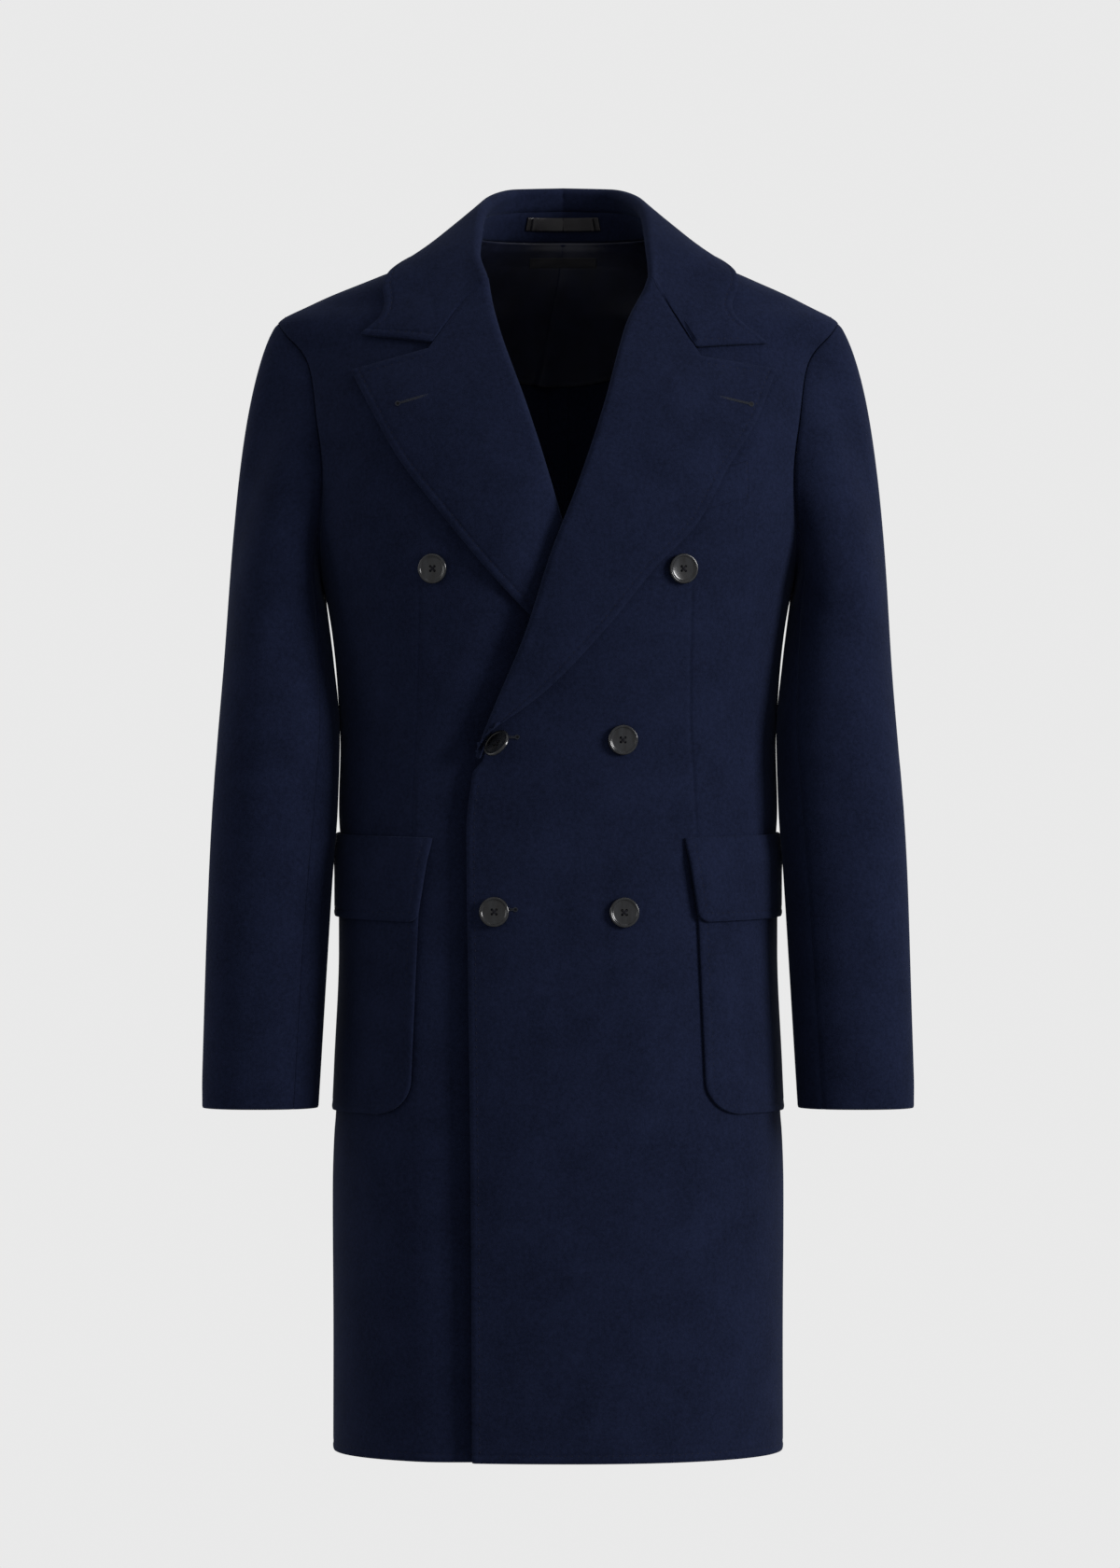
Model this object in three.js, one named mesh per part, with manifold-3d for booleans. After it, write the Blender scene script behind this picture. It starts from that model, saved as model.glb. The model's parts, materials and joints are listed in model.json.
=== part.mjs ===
// A double-breasted wool overcoat with peak lapels, patch pockets with flaps and six buttons,
// in the hollow form that it has when it is worn. Sizes are millimetres and angles are radians.
// +Z is up, the fronts face -Y, and the wearer's left is +X. Every piece of cloth is a closed wall.
// Heights are measured up from the hem, and the last step lowers the coat so that the point
// between the shoulders, where a wearer carries it, is the origin.

import * as THREE from "three";
import Module from "manifold-3d";
import { mergeVertices } from "three/addons/utils/BufferGeometryUtils.js";

// Driving sizes
const CARRY_HEIGHT = 980; // where the shoulders carry the coat, above the hem
const CLOTH = 2.6; // melton wall of the body and the sleeves
const TURNED_CLOTH = 3.6; // two layers pressed together in a lapel, the collar or a flap
const LINING_CLOTH = 1;
const SEAM_GAP = 0.3;
const LAID_GAP = 0.8; // air between a panel and a piece that lies on it
const LINING_GAP = 1.8; // air between the backs and their lining

const UNDERARM = 720;
const SHOULDER_POINT = 945;
const NECKLINE = 1018;
const GORGE_TOP = 977; // where the roll line of the lapel meets the collar
const LAPEL_START = 580; // where the lapel begins to turn back
const SIDE_SEAM = degrees(97);
const SHOULDER_SEAM = degrees(90);
const CENTRE_BACK = degrees(180);

const TORSO_POWER = 2.3; // squareness of the level sections
const SHOULDER_POWER = 1.85; // the same at the shoulder point, where they narrow towards it
const SHOULDER_TIP = { out: 19, tall: 15, low: 26, narrow: 0.3 }; // the padded end of the shoulder
const TORSO_SECTIONS = [
  { height: 0, halfWidth: 189, front: 150, back: 148 },
  { height: 220, halfWidth: 188.5, front: 150, back: 148 },
  { height: 320, halfWidth: 185, front: 149, back: 147 },
  { height: 420, halfWidth: 181, front: 146, back: 143 },
  { height: 480, halfWidth: 181, front: 143, back: 137 },
  { height: 535, halfWidth: 184, front: 139.5, back: 128 },
  { height: 590, halfWidth: 182.5, front: 137, back: 122 },
  { height: 640, halfWidth: 185, front: 139, back: 123.5 },
  { height: 680, halfWidth: 189, front: 141.5, back: 127.5 },
  { height: 720, halfWidth: 196, front: 143, back: 132 },
  { height: 771, halfWidth: 210, front: 141, back: 137 },
  { height: 825, halfWidth: 215, front: 132, back: 138 },
  { height: 877, halfWidth: 221, front: 117, back: 134 },
  { height: 908, halfWidth: 223.5, front: 104, back: 127 },
  { height: 928, halfWidth: 223.5, front: 93.5, back: 120 },
  { height: 942, halfWidth: 218.5, front: 85.5, back: 114.2 },
  { height: 953, halfWidth: 210, front: 79, back: 109 },
  { height: 965, halfWidth: 196.5, front: 72, back: 103 },
  { height: 982, halfWidth: 160, front: 64, back: 95 },
  { height: 1001, halfWidth: 113.5, front: 55, back: 87 },
  { height: 1018, halfWidth: 77.5, front: 47, back: 79 },
  { height: 1024, halfWidth: 66, front: 44, back: 76 },
];

// The front edge below the lapel, and above it the roll line, as a distance from the centre
// towards the piece's own side. It is below zero where the front crosses over the centre.
const FRONT_EDGE = {
  left: [
    { height: 0, across: -70.5 },
    { height: 200, across: -71.5 },
    { height: 400, across: -74 },
    { height: 520, across: -75.4 },
    { height: 560, across: -71.2 },
    { height: 590, across: -64.3 },
    { height: 621, across: -52.4 },
    { height: 680, across: -27.7 },
    { height: 749, across: -5.5 },
    { height: 805, across: 16.3 },
    { height: 870, across: 37.6 },
    { height: 935, across: 55 },
    { height: 977, across: 71.3 },
    { height: 1018, across: 74 },
  ],
  right: [
    { height: 0, across: -68 },
    { height: 400, across: -70 },
    { height: 560, across: -70 },
    { height: 590, across: -65 },
    { height: 621, across: -54 },
    { height: 680, across: -34 },
    { height: 749, across: -12 },
    { height: 824, across: 10.8 },
    { height: 870, across: 25.7 },
    { height: 930, across: 47 },
    { height: 977, across: 60 },
    { height: 1018, across: 74 },
  ],
};

// The lapel's free edge from its lower end to the peak
const LAPEL_EDGE = {
  left: [
    { across: -59.5, height: 598 },
    { across: -50, height: 604.5 },
    { across: -9.2, height: 635.8 },
    { across: 37.5, height: 684.8 },
    { across: 78.9, height: 736.2 },
    { across: 112.6, height: 772.3 },
    { across: 139.8, height: 821.7 },
    { across: 162.2, height: 859 },
    { across: 179.4, height: 901.2 },
  ],
  right: [
    { across: -56, height: 597 },
    { across: -44, height: 616 },
    { across: -5.5, height: 667 },
    { across: 31.4, height: 705.5 },
    { across: 62.8, height: 740.8 },
    { across: 92.8, height: 777.8 },
    { across: 126.8, height: 822 },
    { across: 159.8, height: 880.3 },
    { across: 169.8, height: 900 },
  ],
};

// The corners round the notch between lapel and collar
const NOTCH = {
  left: {
    lapel: { across: 115, height: 911 },
    collar: { across: 111.5, height: 918 },
    tip: { across: 170, height: 924 },
  },
  right: {
    lapel: { across: 104, height: 917.5 },
    collar: { across: 101, height: 922 },
    tip: { across: 160, height: 931 },
  },
};

const LAPEL_EDGE_LIFT = 6.9; // outer face over the front panel, along the free edge
const LAPEL_PEAK_LIFT = 5;
const LAPEL_BELLY = 2.2;
const FOLD_RADIUS = 5.6; // outer radius of the turned cloth at the roll line
const FOLD_RADIUS_LOW = 4.3;
const NOTCH_SHARE = 0.52; // how far across the lapel and the collar the notch lies
const GORGE_SHARE = 0.854; // share of the lapel's upper seam that the collar is sewn to
const NOTCH_LIFT = 6.2; // outer face of the collar over the front, at the notch

// The collar's fold, from the roll line's top round to the centre back; along is 0 to 1
const COLLAR_FOLD = [
  { along: 0.21, across: 69, depth: -44, height: 1002 },
  { along: 0.42, across: 66.5, depth: -13, height: 1031 },
  { along: 0.5, across: 64, depth: 3, height: 1042 },
  { along: 0.65, across: 54, depth: 34, height: 1055 },
  { along: 0.8, across: 37, depth: 62, height: 1062.5 },
  { along: 1, across: 0, depth: 76, height: 1065 },
];
// The collar's free edge, as a place on the torso
const COLLAR_EDGE = [
  { along: 0.1, angle: degrees(67.6), height: 945 },
  { along: 0.21, angle: degrees(71), height: 963 },
  { along: 0.32, angle: degrees(77.5), height: 982.5 },
  { along: 0.42, angle: degrees(84.5), height: 993 },
  { along: 0.5, angle: degrees(92), height: 997 },
  { along: 0.65, angle: degrees(115), height: 999.5 },
  { along: 0.8, angle: degrees(139), height: 1001.5 },
  { along: 1, angle: degrees(180), height: 1003 },
];
const COLLAR_LIFT = TURNED_CLOTH + LAID_GAP;
const COLLAR_ARCH = 1; // how far the fall bows out between fold and edge
const STAND_SET_IN = 4.2; // the stand's inner face lies this far inside the front's neck edge
const STAND_LEAST = 0.2; // height of the stand at its front ends, as a share of its whole height
const STAND_SEAM = 0.67; // share of the stand below the seam that joins it to the collar
const FRONT_NECK_SHARE = 0.42; // share of the half collar that lies before the shoulder seam

const NECK_LEAN = 4.2; // how far the neck sits to the wearer's left of the coat's middle
const UNDERLAP_DEPTH = 14; // how far the right front is pushed in under the left one

const ARMHOLE_FRONT_SWING = degrees(21); // half width of the armhole, as an angle
const ARMHOLE_LOW_SWING = degrees(6.5);
const ARMHOLE_BACK_SWING = degrees(18);
const BICEPS = 700; // level where the sleeve cap becomes a tube
const CUFF = 288;
const SLEEVE_POWER = 2.2;
const SLEEVE_SECTIONS = [
  { height: 700, outer: 278, inner: 193.5, halfDepth: 76, middle: -4 },
  { height: 660, outer: 280.5, inner: 188.2, halfDepth: 70, middle: -16 },
  { height: 600, outer: 284.5, inner: 182.5, halfDepth: 64, middle: -31 },
  { height: 540, outer: 288.5, inner: 184, halfDepth: 60, middle: -36 },
  { height: 480, outer: 291.5, inner: 188.3, halfDepth: 57, middle: -38 },
  { height: 400, outer: 294.5, inner: 193.2, halfDepth: 53, middle: -41 },
  { height: 340, outer: 296, inner: 196.8, halfDepth: 50.5, middle: -43 },
  { height: 288, outer: 297, inner: 200, halfDepth: 48.5, middle: -45 },
];
const SLEEVE_FRONT_SEAM = 0.3; // along the ring: 0 underarm, 1 shoulder point, 2 underarm again
const SLEEVE_BACK_SEAM = 1.7;

const POCKET = {
  top: 488,
  bottom: 285,
  topAcross: 113,
  lowAcross: 122,
  backAngle: degrees(94.5),
  corner: 28,
  backCorner: 20,
};
const FLAP = {
  top: 513,
  bottom: 444,
  topAcross: 104,
  lowAcross: 114,
  backAngle: degrees(95.6),
  corner: 8,
  rise: 4,
};
const WELT = { start: 62, end: 158, startHeight: 767, endHeight: 795, tall: 30 };
const WELT_CLOTH = 1.9;

const BUTTON = { radius: 12.5, thickness: 4.2, rim: 2.6, dish: 1.1, holeRadius: 1.1, holeCircle: 2.5 };
const BUTTONS = [
  { name: "button_top_right", side: "right", across: 102.4, height: 735 },
  { name: "button_top_left", side: "left", across: 102.4, height: 735 },
  { name: "button_middle_right", side: "left", across: -47.9, height: 589.8, tilt: degrees(48) },
  { name: "button_middle_left", side: "left", across: 53, height: 594 },
  { name: "button_low_right", side: "left", across: -52, height: 452.5 },
  { name: "button_low_left", side: "left", across: 54, height: 452 },
];

const LINING = { top: 1015, lowMiddle: 900, rise: 85, reach: degrees(66) };
const HANGER = { length: 59, tall: 11, height: 1034, thickness: 1.2, gap: 0.5 };
const LABEL = { length: 57, tall: 8, height: 1004, thickness: 1, gap: 0.9 };

// Rows of facets up the body, closer together where it curves
const BODY_LEVELS = [0, 180, 300, 380, 430, 480, 520, 552, 568, 577, 592, 615, 645, 680, 720];
const ARMHOLE_ROWS = 10;
const SHOULDER_ROWS = 6;
const FRONT_COLUMNS = [0, 0.06, 0.12, 0.18, 0.24, 0.31, 0.38, 0.46, 0.54, 0.62, 0.7, 0.78, 0.86, 0.93, 1];
const BACK_COLUMNS = 8;
const LAID_COLUMNS = [0, 0.07, 0.15, 0.27, 0.4, 0.55, 0.7, 0.85, 1];

function degrees(value) {
  return (value * Math.PI) / 180;
}

const clamp = (x) => Math.min(1, Math.max(0, x));
const mix = (a, b, t) => a + (b - a) * t;
function smooth(from, to, x) {
  const t = clamp((x - from) / (to - from));
  return t * t * (3 - 2 * t);
}
function spread(from, to, count) {
  return Array.from({ length: count + 1 }, (_, i) => mix(from, to, i / count));
}
const sideSign = (side) => (side === "left" ? 1 : -1);

// A curve through a table's rows that never overshoots them, as a function of one column
function curve(rows, by, column) {
  const table = [...rows].sort((a, b) => a[by] - b[by]);
  const xs = table.map((row) => row[by]);
  const ys = table.map((row) => row[column]);
  const steps = xs.slice(1).map((x, i) => (ys[i + 1] - ys[i]) / (x - xs[i]));
  const slopes = xs.map((_, i) => {
    if (i === 0) return steps[0];
    if (i === xs.length - 1) return steps[i - 1];
    const product = steps[i - 1] * steps[i];
    return product <= 0 ? 0 : (2 * product) / (steps[i - 1] + steps[i]);
  });
  return (x) => {
    const at = Math.min(xs[xs.length - 1], Math.max(xs[0], x));
    const i = Math.max(0, Math.min(xs.length - 2, xs.findIndex((known) => known >= at) - 1));
    const width = xs[i + 1] - xs[i];
    const t = (at - xs[i]) / width;
    const rest = 1 - t;
    return (
      rest * rest * (1 + 2 * t) * ys[i] +
      t * t * (3 - 2 * t) * ys[i + 1] +
      width * (t * rest * rest * slopes[i] - t * t * rest * slopes[i + 1])
    );
  };
}

// A path through places in the front view, evenly run from 0 to 1
function path(places) {
  let run = 0;
  const rows = places.map((place, i) => {
    if (i > 0) run += Math.hypot(place.across - places[i - 1].across, place.height - places[i - 1].height);
    return { ...place, run };
  });
  const evenRows = rows.map((row) => ({ ...row, run: row.run / run }));
  const across = curve(evenRows, "run", "across");
  const height = curve(evenRows, "run", "height");
  return (t) => ({ across: across(t), height: height(t) });
}

// The torso: level sections that are rounded squares, narrowing over the shoulders to the neck
const halfWidth = curve(TORSO_SECTIONS, "height", "halfWidth");
const frontDepth = curve(TORSO_SECTIONS, "height", "front");
const backDepth = curve(TORSO_SECTIONS, "height", "back");

function torsoPower(height) {
  const nearness = smooth(850, 940, height) * (1 - smooth(955, 985, height));
  return mix(TORSO_POWER, SHOULDER_POWER, nearness);
}

function shoulderTip(angle, height) {
  const above = height - SHOULDER_POINT;
  const rise = above / (above > 0 ? SHOULDER_TIP.tall : SHOULDER_TIP.low);
  return SHOULDER_TIP.out * Math.exp(-(rise ** 2) - (Math.cos(angle) / SHOULDER_TIP.narrow) ** 2);
}

function torsoRadius(angle, height) {
  const power = torsoPower(height);
  const depth = Math.cos(angle) > 0 ? frontDepth(height) : backDepth(height);
  const sideways = Math.abs(Math.sin(angle)) / halfWidth(height);
  const forward = Math.abs(Math.cos(angle)) / depth;
  return (sideways ** power + forward ** power) ** (-1 / power) + shoulderTip(angle, height);
}

function torsoSkin(angle, height) {
  const radius = torsoRadius(angle, height);
  return new THREE.Vector3(radius * Math.sin(angle), -radius * Math.cos(angle), height);
}

function torsoNormal(angle, height) {
  const turn = 0.002;
  const rise = 0.2;
  const around = torsoSkin(angle + turn, height).sub(torsoSkin(angle - turn, height));
  const up = torsoSkin(angle, height + rise).sub(torsoSkin(angle, height - rise));
  return around.cross(up).normalize();
}

function torsoPoint(angle, height, out = 0) {
  return torsoSkin(angle, height).addScaledVector(torsoNormal(angle, height), out);
}

// The angle of a place on the front that is seen this far from the centre
function frontAngle(across, height) {
  const power = torsoPower(height);
  const share = Math.min(0.999, Math.abs(across) / halfWidth(height));
  const forward = frontDepth(height) * (1 - share ** power) ** (1 / power);
  return Math.atan2(across, forward);
}

// The level of the torso straight under or over a point of the plan
function torsoLevel(across, depth) {
  const angle = Math.atan2(across, -depth);
  const radius = Math.hypot(across, depth);
  let low = 825;
  let high = 1024;
  for (let i = 0; i < 30; i += 1) {
    const middle = (low + high) / 2;
    if (torsoRadius(angle, middle) > radius) low = middle;
    else high = middle;
  }
  return (low + high) / 2;
}

// Closed walls from a surface: point(u, v) is the outer face, into(u, v) the way to the inner one
function surfaceInward(point) {
  const step = 0.002;
  return (u, v) => {
    const across = point(u + step, v).sub(point(u - step, v));
    const along = point(u, v + step).sub(point(u, v - step));
    return across.cross(along).normalize();
  };
}

function signedVolume(positions, faces) {
  let volume = 0;
  for (const [a, b, c] of faces) volume += positions[a].dot(positions[b].clone().cross(positions[c])) / 6;
  return volume;
}

function solidGeometry(positions, faces) {
  const outward = signedVolume(positions, faces) > 0;
  const geometry = new THREE.BufferGeometry();
  const leaning = positions.flatMap((p) => [p.x + NECK_LEAN * smooth(950, 1000, p.z), p.y, p.z]);
  geometry.setAttribute("position", new THREE.Float32BufferAttribute(leaning, 3));
  geometry.setIndex(faces.flatMap(([a, b, c]) => (outward ? [a, b, c] : [a, c, b])));
  return geometry;
}

function wall(point, into, us, vs, thickness) {
  const outer = vs.map((v) => us.map((u) => point(u, v)));
  const behind = (u, v, p) => p.clone().addScaledVector(into(u, v), thickness);
  const inner = vs.map((v, j) => us.map((u, i) => behind(u, v, outer[j][i])));
  const positions = [...outer.flat(), ...inner.flat()];
  const columns = us.length;
  const half = columns * vs.length;
  const faces = [];
  const quad = (a, b, c, d) => faces.push([a, b, c], [a, c, d]);
  for (let j = 0; j + 1 < vs.length; j += 1) {
    for (let i = 0; i + 1 < columns; i += 1) {
      const a = j * columns + i;
      const corners = [a, a + 1, a + 1 + columns, a + columns];
      quad(...corners);
      quad(...corners.map((k) => k + half).reverse());
    }
  }
  const rim = [];
  for (let i = 0; i < columns; i += 1) rim.push(i);
  for (let j = 1; j < vs.length; j += 1) rim.push(j * columns + columns - 1);
  for (let i = columns - 2; i >= 0; i -= 1) rim.push((vs.length - 1) * columns + i);
  for (let j = vs.length - 2; j > 0; j -= 1) rim.push(j * columns);
  rim.forEach((a, i) => {
    const b = rim[(i + 1) % rim.length];
    quad(b, a, a + half, b + half);
  });
  return solidGeometry(positions, faces);
}

// Own side to world: the right pieces are worked out as left ones, then mirrored
function mirrored(side, point) {
  const sign = sideSign(side);
  return (u, v) => {
    const p = point(u, v);
    p.x *= sign;
    return p;
  };
}

// Fronts
const frontEdge = {
  left: curve(FRONT_EDGE.left, "height", "across"),
  right: curve(FRONT_EDGE.right, "height", "across"),
};

// How far a front lies outside the torso: the right front is pushed in where the left one crosses it
function frontLift(side, across, height) {
  if (side === "left") return 0;
  const overEdge = -frontEdge.left(height);
  return UNDERLAP_DEPTH * (smooth(overEdge - 12, overEdge + 46, across) - 1);
}

function onFront(side, across, height, out = 0) {
  const angle = frontAngle(across, height);
  return torsoPoint(angle, height, frontLift(side, across, height) + out);
}

// Rows of a body panel: 0 hem, 1 underarm, 2 shoulder point, 3 neck
function rowHeight(v) {
  if (v <= 1) return mix(0, UNDERARM, v);
  if (v <= 2) return mix(UNDERARM, SHOULDER_POINT, (1 - Math.cos((v - 1) * Math.PI)) / 2);
  return mix(SHOULDER_POINT, NECKLINE, v - 2);
}

function armholeAngle(swing, turn) {
  const middle = mix(SIDE_SEAM, SHOULDER_SEAM, turn / Math.PI);
  return middle + swing * Math.sin(turn);
}

const frontSwing = (turn) => -(ARMHOLE_FRONT_SWING + ARMHOLE_LOW_SWING * Math.cos(turn));

function rowSideAngle(v, isFront) {
  const sign = isFront ? -1 : 1;
  const gap = (sign * SEAM_GAP) / 2 / torsoRadius(SIDE_SEAM, rowHeight(v));
  if (v <= 1) return SIDE_SEAM + gap;
  if (v >= 2) return SHOULDER_SEAM + gap;
  const turn = (v - 1) * Math.PI;
  return armholeAngle(isFront ? frontSwing(turn) : ARMHOLE_BACK_SWING, turn) + gap;
}

// The panel stops short of the roll line, where the turned cloth of the lapel begins
function foldRadius(along) {
  return mix(FOLD_RADIUS_LOW, FOLD_RADIUS, smooth(0, 0.3, along));
}

function panelEdge(side, height) {
  const along = (height - LAPEL_START) / (GORGE_TOP - LAPEL_START);
  const begun = smooth(LAPEL_START - 12, LAPEL_START - 3, height);
  const underCollar = 1 - 0.65 * smooth(1000, NECKLINE, height);
  const room = foldRadius(along) * 1.12 + 0.9 + 3.2 * smooth(935, 972, height);
  return frontEdge[side](height) + begun * underCollar * room;
}

function frontPanel(side) {
  const point = (u, v) => {
    const height = rowHeight(v);
    const start = frontAngle(panelEdge(side, height), height);
    const angle = mix(start, rowSideAngle(v, true), u);
    const across = torsoSkin(angle, height).x;
    const lift = angle < SHOULDER_SEAM ? frontLift(side, across, height) : 0;
    return torsoPoint(angle, height, lift);
  };
  return point;
}

function panelInward(point) {
  return (u, v) => {
    const p = point(u, v);
    return torsoNormal(Math.atan2(p.x, -p.y), p.z).negate();
  };
}

function backPanel() {
  return (u, v) => {
    const height = rowHeight(v);
    const start = CENTRE_BACK - SEAM_GAP / 2 / backDepth(height);
    return torsoPoint(mix(start, rowSideAngle(v, false), u), height);
  };
}

const bodyRows = [
  ...BODY_LEVELS.map((level) => level / UNDERARM),
  ...spread(1, 2, ARMHOLE_ROWS).slice(1),
  ...spread(2, 3, SHOULDER_ROWS).slice(1),
];

function bodyWall(side, point, columns) {
  const into = panelInward(point);
  const sign = sideSign(side);
  const worldInto = (u, v) => {
    const n = into(u, v);
    n.x *= sign;
    return n;
  };
  return wall(mirrored(side, point), worldInto, columns, bodyRows, CLOTH);
}

// Sleeves. ring runs round the tube: 0 underarm, 1 shoulder point, 2 underarm again.
function armholePlace(ring) {
  const isFront = ring <= 1;
  const turn = (isFront ? ring : 2 - ring) * Math.PI;
  const height = mix(UNDERARM, SHOULDER_POINT, (1 - Math.cos(turn)) / 2);
  return { angle: armholeAngle(isFront ? frontSwing(turn) : ARMHOLE_BACK_SWING, turn), height };
}

// The way from the armhole's edge into the hole, along the torso
function intoArmhole(ring) {
  const place = armholePlace(ring);
  const edge = torsoSkin(place.angle, place.height);
  const centre = torsoSkin(degrees(93), (UNDERARM + SHOULDER_POINT) / 2);
  const normal = torsoNormal(place.angle, place.height);
  const step = 0.01;
  const before = armholePlace(Math.max(0, ring - step));
  const after = armholePlace(Math.min(2, ring + step));
  const tangent = torsoSkin(after.angle, after.height).sub(torsoSkin(before.angle, before.height));
  const way = normal.clone().cross(tangent).normalize();
  return way.dot(centre.sub(edge)) > 0 ? way : way.negate();
}

const sleeveOuter = curve(SLEEVE_SECTIONS, "height", "outer");
const sleeveInner = curve(SLEEVE_SECTIONS, "height", "inner");
const sleeveHalfDepth = curve(SLEEVE_SECTIONS, "height", "halfDepth");
const sleeveMiddle = curve(SLEEVE_SECTIONS, "height", "middle");

function sleeveTube(ring, height) {
  const turn = Math.PI * (1 - ring);
  const halfAcross = (sleeveOuter(height) - sleeveInner(height)) / 2;
  const halfDepth = sleeveHalfDepth(height);
  const sideways = Math.abs(Math.cos(turn)) / halfAcross;
  const forward = Math.abs(Math.sin(turn)) / halfDepth;
  const radius = (sideways ** SLEEVE_POWER + forward ** SLEEVE_POWER) ** (-1 / SLEEVE_POWER);
  return new THREE.Vector3(
    sleeveInner(height) + halfAcross + radius * Math.cos(turn),
    sleeveMiddle(height) - radius * Math.sin(turn),
    height,
  );
}

function sleeveStart(ring) {
  const place = armholePlace(ring);
  const normal = torsoNormal(place.angle, place.height);
  const underarm = (1 + Math.cos(Math.PI * ring)) / 2;
  return torsoSkin(place.angle, place.height)
    .addScaledVector(intoArmhole(ring), SEAM_GAP)
    .addScaledVector(normal, 0.9 * underarm ** 2);
}

// row: 0 armhole, 1 biceps, 2 cuff
function sleevePoint(anyRing, row) {
  const ring = ((anyRing % 2) + 2) % 2;
  if (row >= 1) return sleeveTube(ring, mix(BICEPS, CUFF, row - 1));
  const start = sleeveStart(ring);
  const end = sleeveTube(ring, BICEPS);
  const length = start.distanceTo(end);
  const turn = Math.PI * (1 - ring);
  const leave = new THREE.Vector3(0.345 - 0.02 * Math.cos(turn), -0.16 * Math.sin(turn), -0.42);
  const arrive = new THREE.Vector3(0.09 * Math.cos(turn) - 0.03, 0.17 * Math.sin(turn) - 0.2, -0.9);
  const t = Math.max(0, row);
  const rest = 1 - t;
  return start
    .multiplyScalar(rest * rest * (1 + 2 * t))
    .addScaledVector(end, t * t * (3 - 2 * t))
    .addScaledVector(leave, length * t * rest * rest)
    .addScaledVector(arrive, -length * t * t * rest);
}

function sleeveInward(ring, row) {
  const step = 0.004;
  const around = sleevePoint(ring + step, row).sub(sleevePoint(ring - step, row));
  const down = sleevePoint(ring, row + step).sub(sleevePoint(ring, Math.max(0, row - step)));
  const inward = around.cross(down).normalize();
  if (row > 0) return inward;
  const place = ((ring % 2) + 2) % 2;
  const way = intoArmhole(place);
  const back = inward.dot(way);
  return back < 0 ? inward.addScaledVector(way, -back).normalize() : inward;
}

function sleeveWall(side, from, to) {
  const gap = 0.0017;
  const rings = spread(from, to, Math.round((to - from) * ARMHOLE_ROWS));
  rings[0] += gap;
  rings[rings.length - 1] -= gap;
  const sign = sideSign(side);
  const into = (u, v) => {
    const n = sleeveInward(Math.round(u * ARMHOLE_ROWS) / ARMHOLE_ROWS, v);
    n.x *= sign;
    return n;
  };
  const rows = [0, 0.04, 0.1, 0.2, 0.35, 0.55, 0.78, 1, ...spread(1, 2, 7).slice(1)];
  return wall(mirrored(side, sleevePoint), into, rings, rows, CLOTH);
}

// Lapels. column runs -1 to 0 round the turned cloth and 0 to 1 out to the free edge.
const lapelEdge = { left: path(LAPEL_EDGE.left), right: path(LAPEL_EDGE.right) };

function lapelSection(side, along) {
  const height = mix(LAPEL_START, GORGE_TOP, along);
  const roll = { across: frontEdge[side](height), height };
  const edge = lapelEdge[side](clamp(along));
  const notch = NOTCH[side].lapel;
  const top = { roll: { across: frontEdge[side](GORGE_TOP), height: GORGE_TOP }, edge: lapelEdge[side](1) };
  const bend = smooth(0.5, 1, along) ** 2;
  return {
    roll,
    edge,
    bendAcross: bend * (notch.across - mix(top.roll.across, top.edge.across, NOTCH_SHARE)),
    bendHeight: bend * (notch.height - mix(top.roll.height, top.edge.height, NOTCH_SHARE)),
  };
}

function lapelPoint(side) {
  return (column, along) => {
    const { roll, edge, bendAcross, bendHeight } = lapelSection(side, along);
    const width = Math.hypot(edge.across - roll.across, edge.height - roll.height);
    const radius = foldRadius(along);
    const middle = radius - CLOTH - 0.2;
    const top = middle + radius;
    if (column <= 0) {
      const turn = (column + 1) * Math.PI;
      const share = (radius * (1 - Math.sin(turn))) / width;
      const across = mix(roll.across, edge.across, share);
      const height = mix(roll.height, edge.height, share);
      return onFront(side, across, height, middle - radius * Math.cos(turn));
    }
    const share = mix(radius / width, 1, column);
    const bend = column < NOTCH_SHARE ? column / NOTCH_SHARE : (1 - column) / (1 - NOTCH_SHARE);
    const across = mix(roll.across, edge.across, share) + bend * bendAcross;
    const height = mix(roll.height, edge.height, share) + bend * bendHeight;
    const lowLift = mix(top, LAPEL_EDGE_LIFT, smooth(0, 0.25, along));
    const edgeLift = mix(lowLift, LAPEL_PEAK_LIFT, smooth(0.8, 1, along));
    const belly = LAPEL_BELLY * smooth(0, 0.5, along) * (1 - smooth(0.7, 1, along));
    const lift = mix(top, edgeLift, column ** 0.8) + belly * Math.sin(Math.PI * column);
    return onFront(side, across, height, lift);
  };
}

// Collar. along runs 0 at the lapel to 1 at the centre back.
// column: -2 neckline, -1 foot of the fold, 0 top of the fold, 1 free edge.
function collarCurves(side) {
  const top = onFront(side, frontEdge[side](GORGE_TOP), GORGE_TOP, 2.6);
  const tip = NOTCH[side].tip;
  const foldRows = [{ along: 0, across: top.x, depth: top.y, height: top.z }, ...COLLAR_FOLD];
  const tipAngle = frontAngle(tip.across, tip.height);
  const edgeRows = [{ along: 0, angle: tipAngle, height: tip.height }, ...COLLAR_EDGE];
  return {
    foldAcross: curve(foldRows, "along", "across"),
    foldDepth: curve(foldRows, "along", "depth"),
    foldHeight: curve(foldRows, "along", "height"),
    edgeAngle: curve(edgeRows, "along", "angle"),
    edgeHeight: curve(edgeRows, "along", "height"),
  };
}
const collarLines = { left: collarCurves("left"), right: collarCurves("right") };

function foldPoint(side, along) {
  const lines = collarLines[side];
  return new THREE.Vector3(lines.foldAcross(along), lines.foldDepth(along), lines.foldHeight(along));
}

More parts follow.
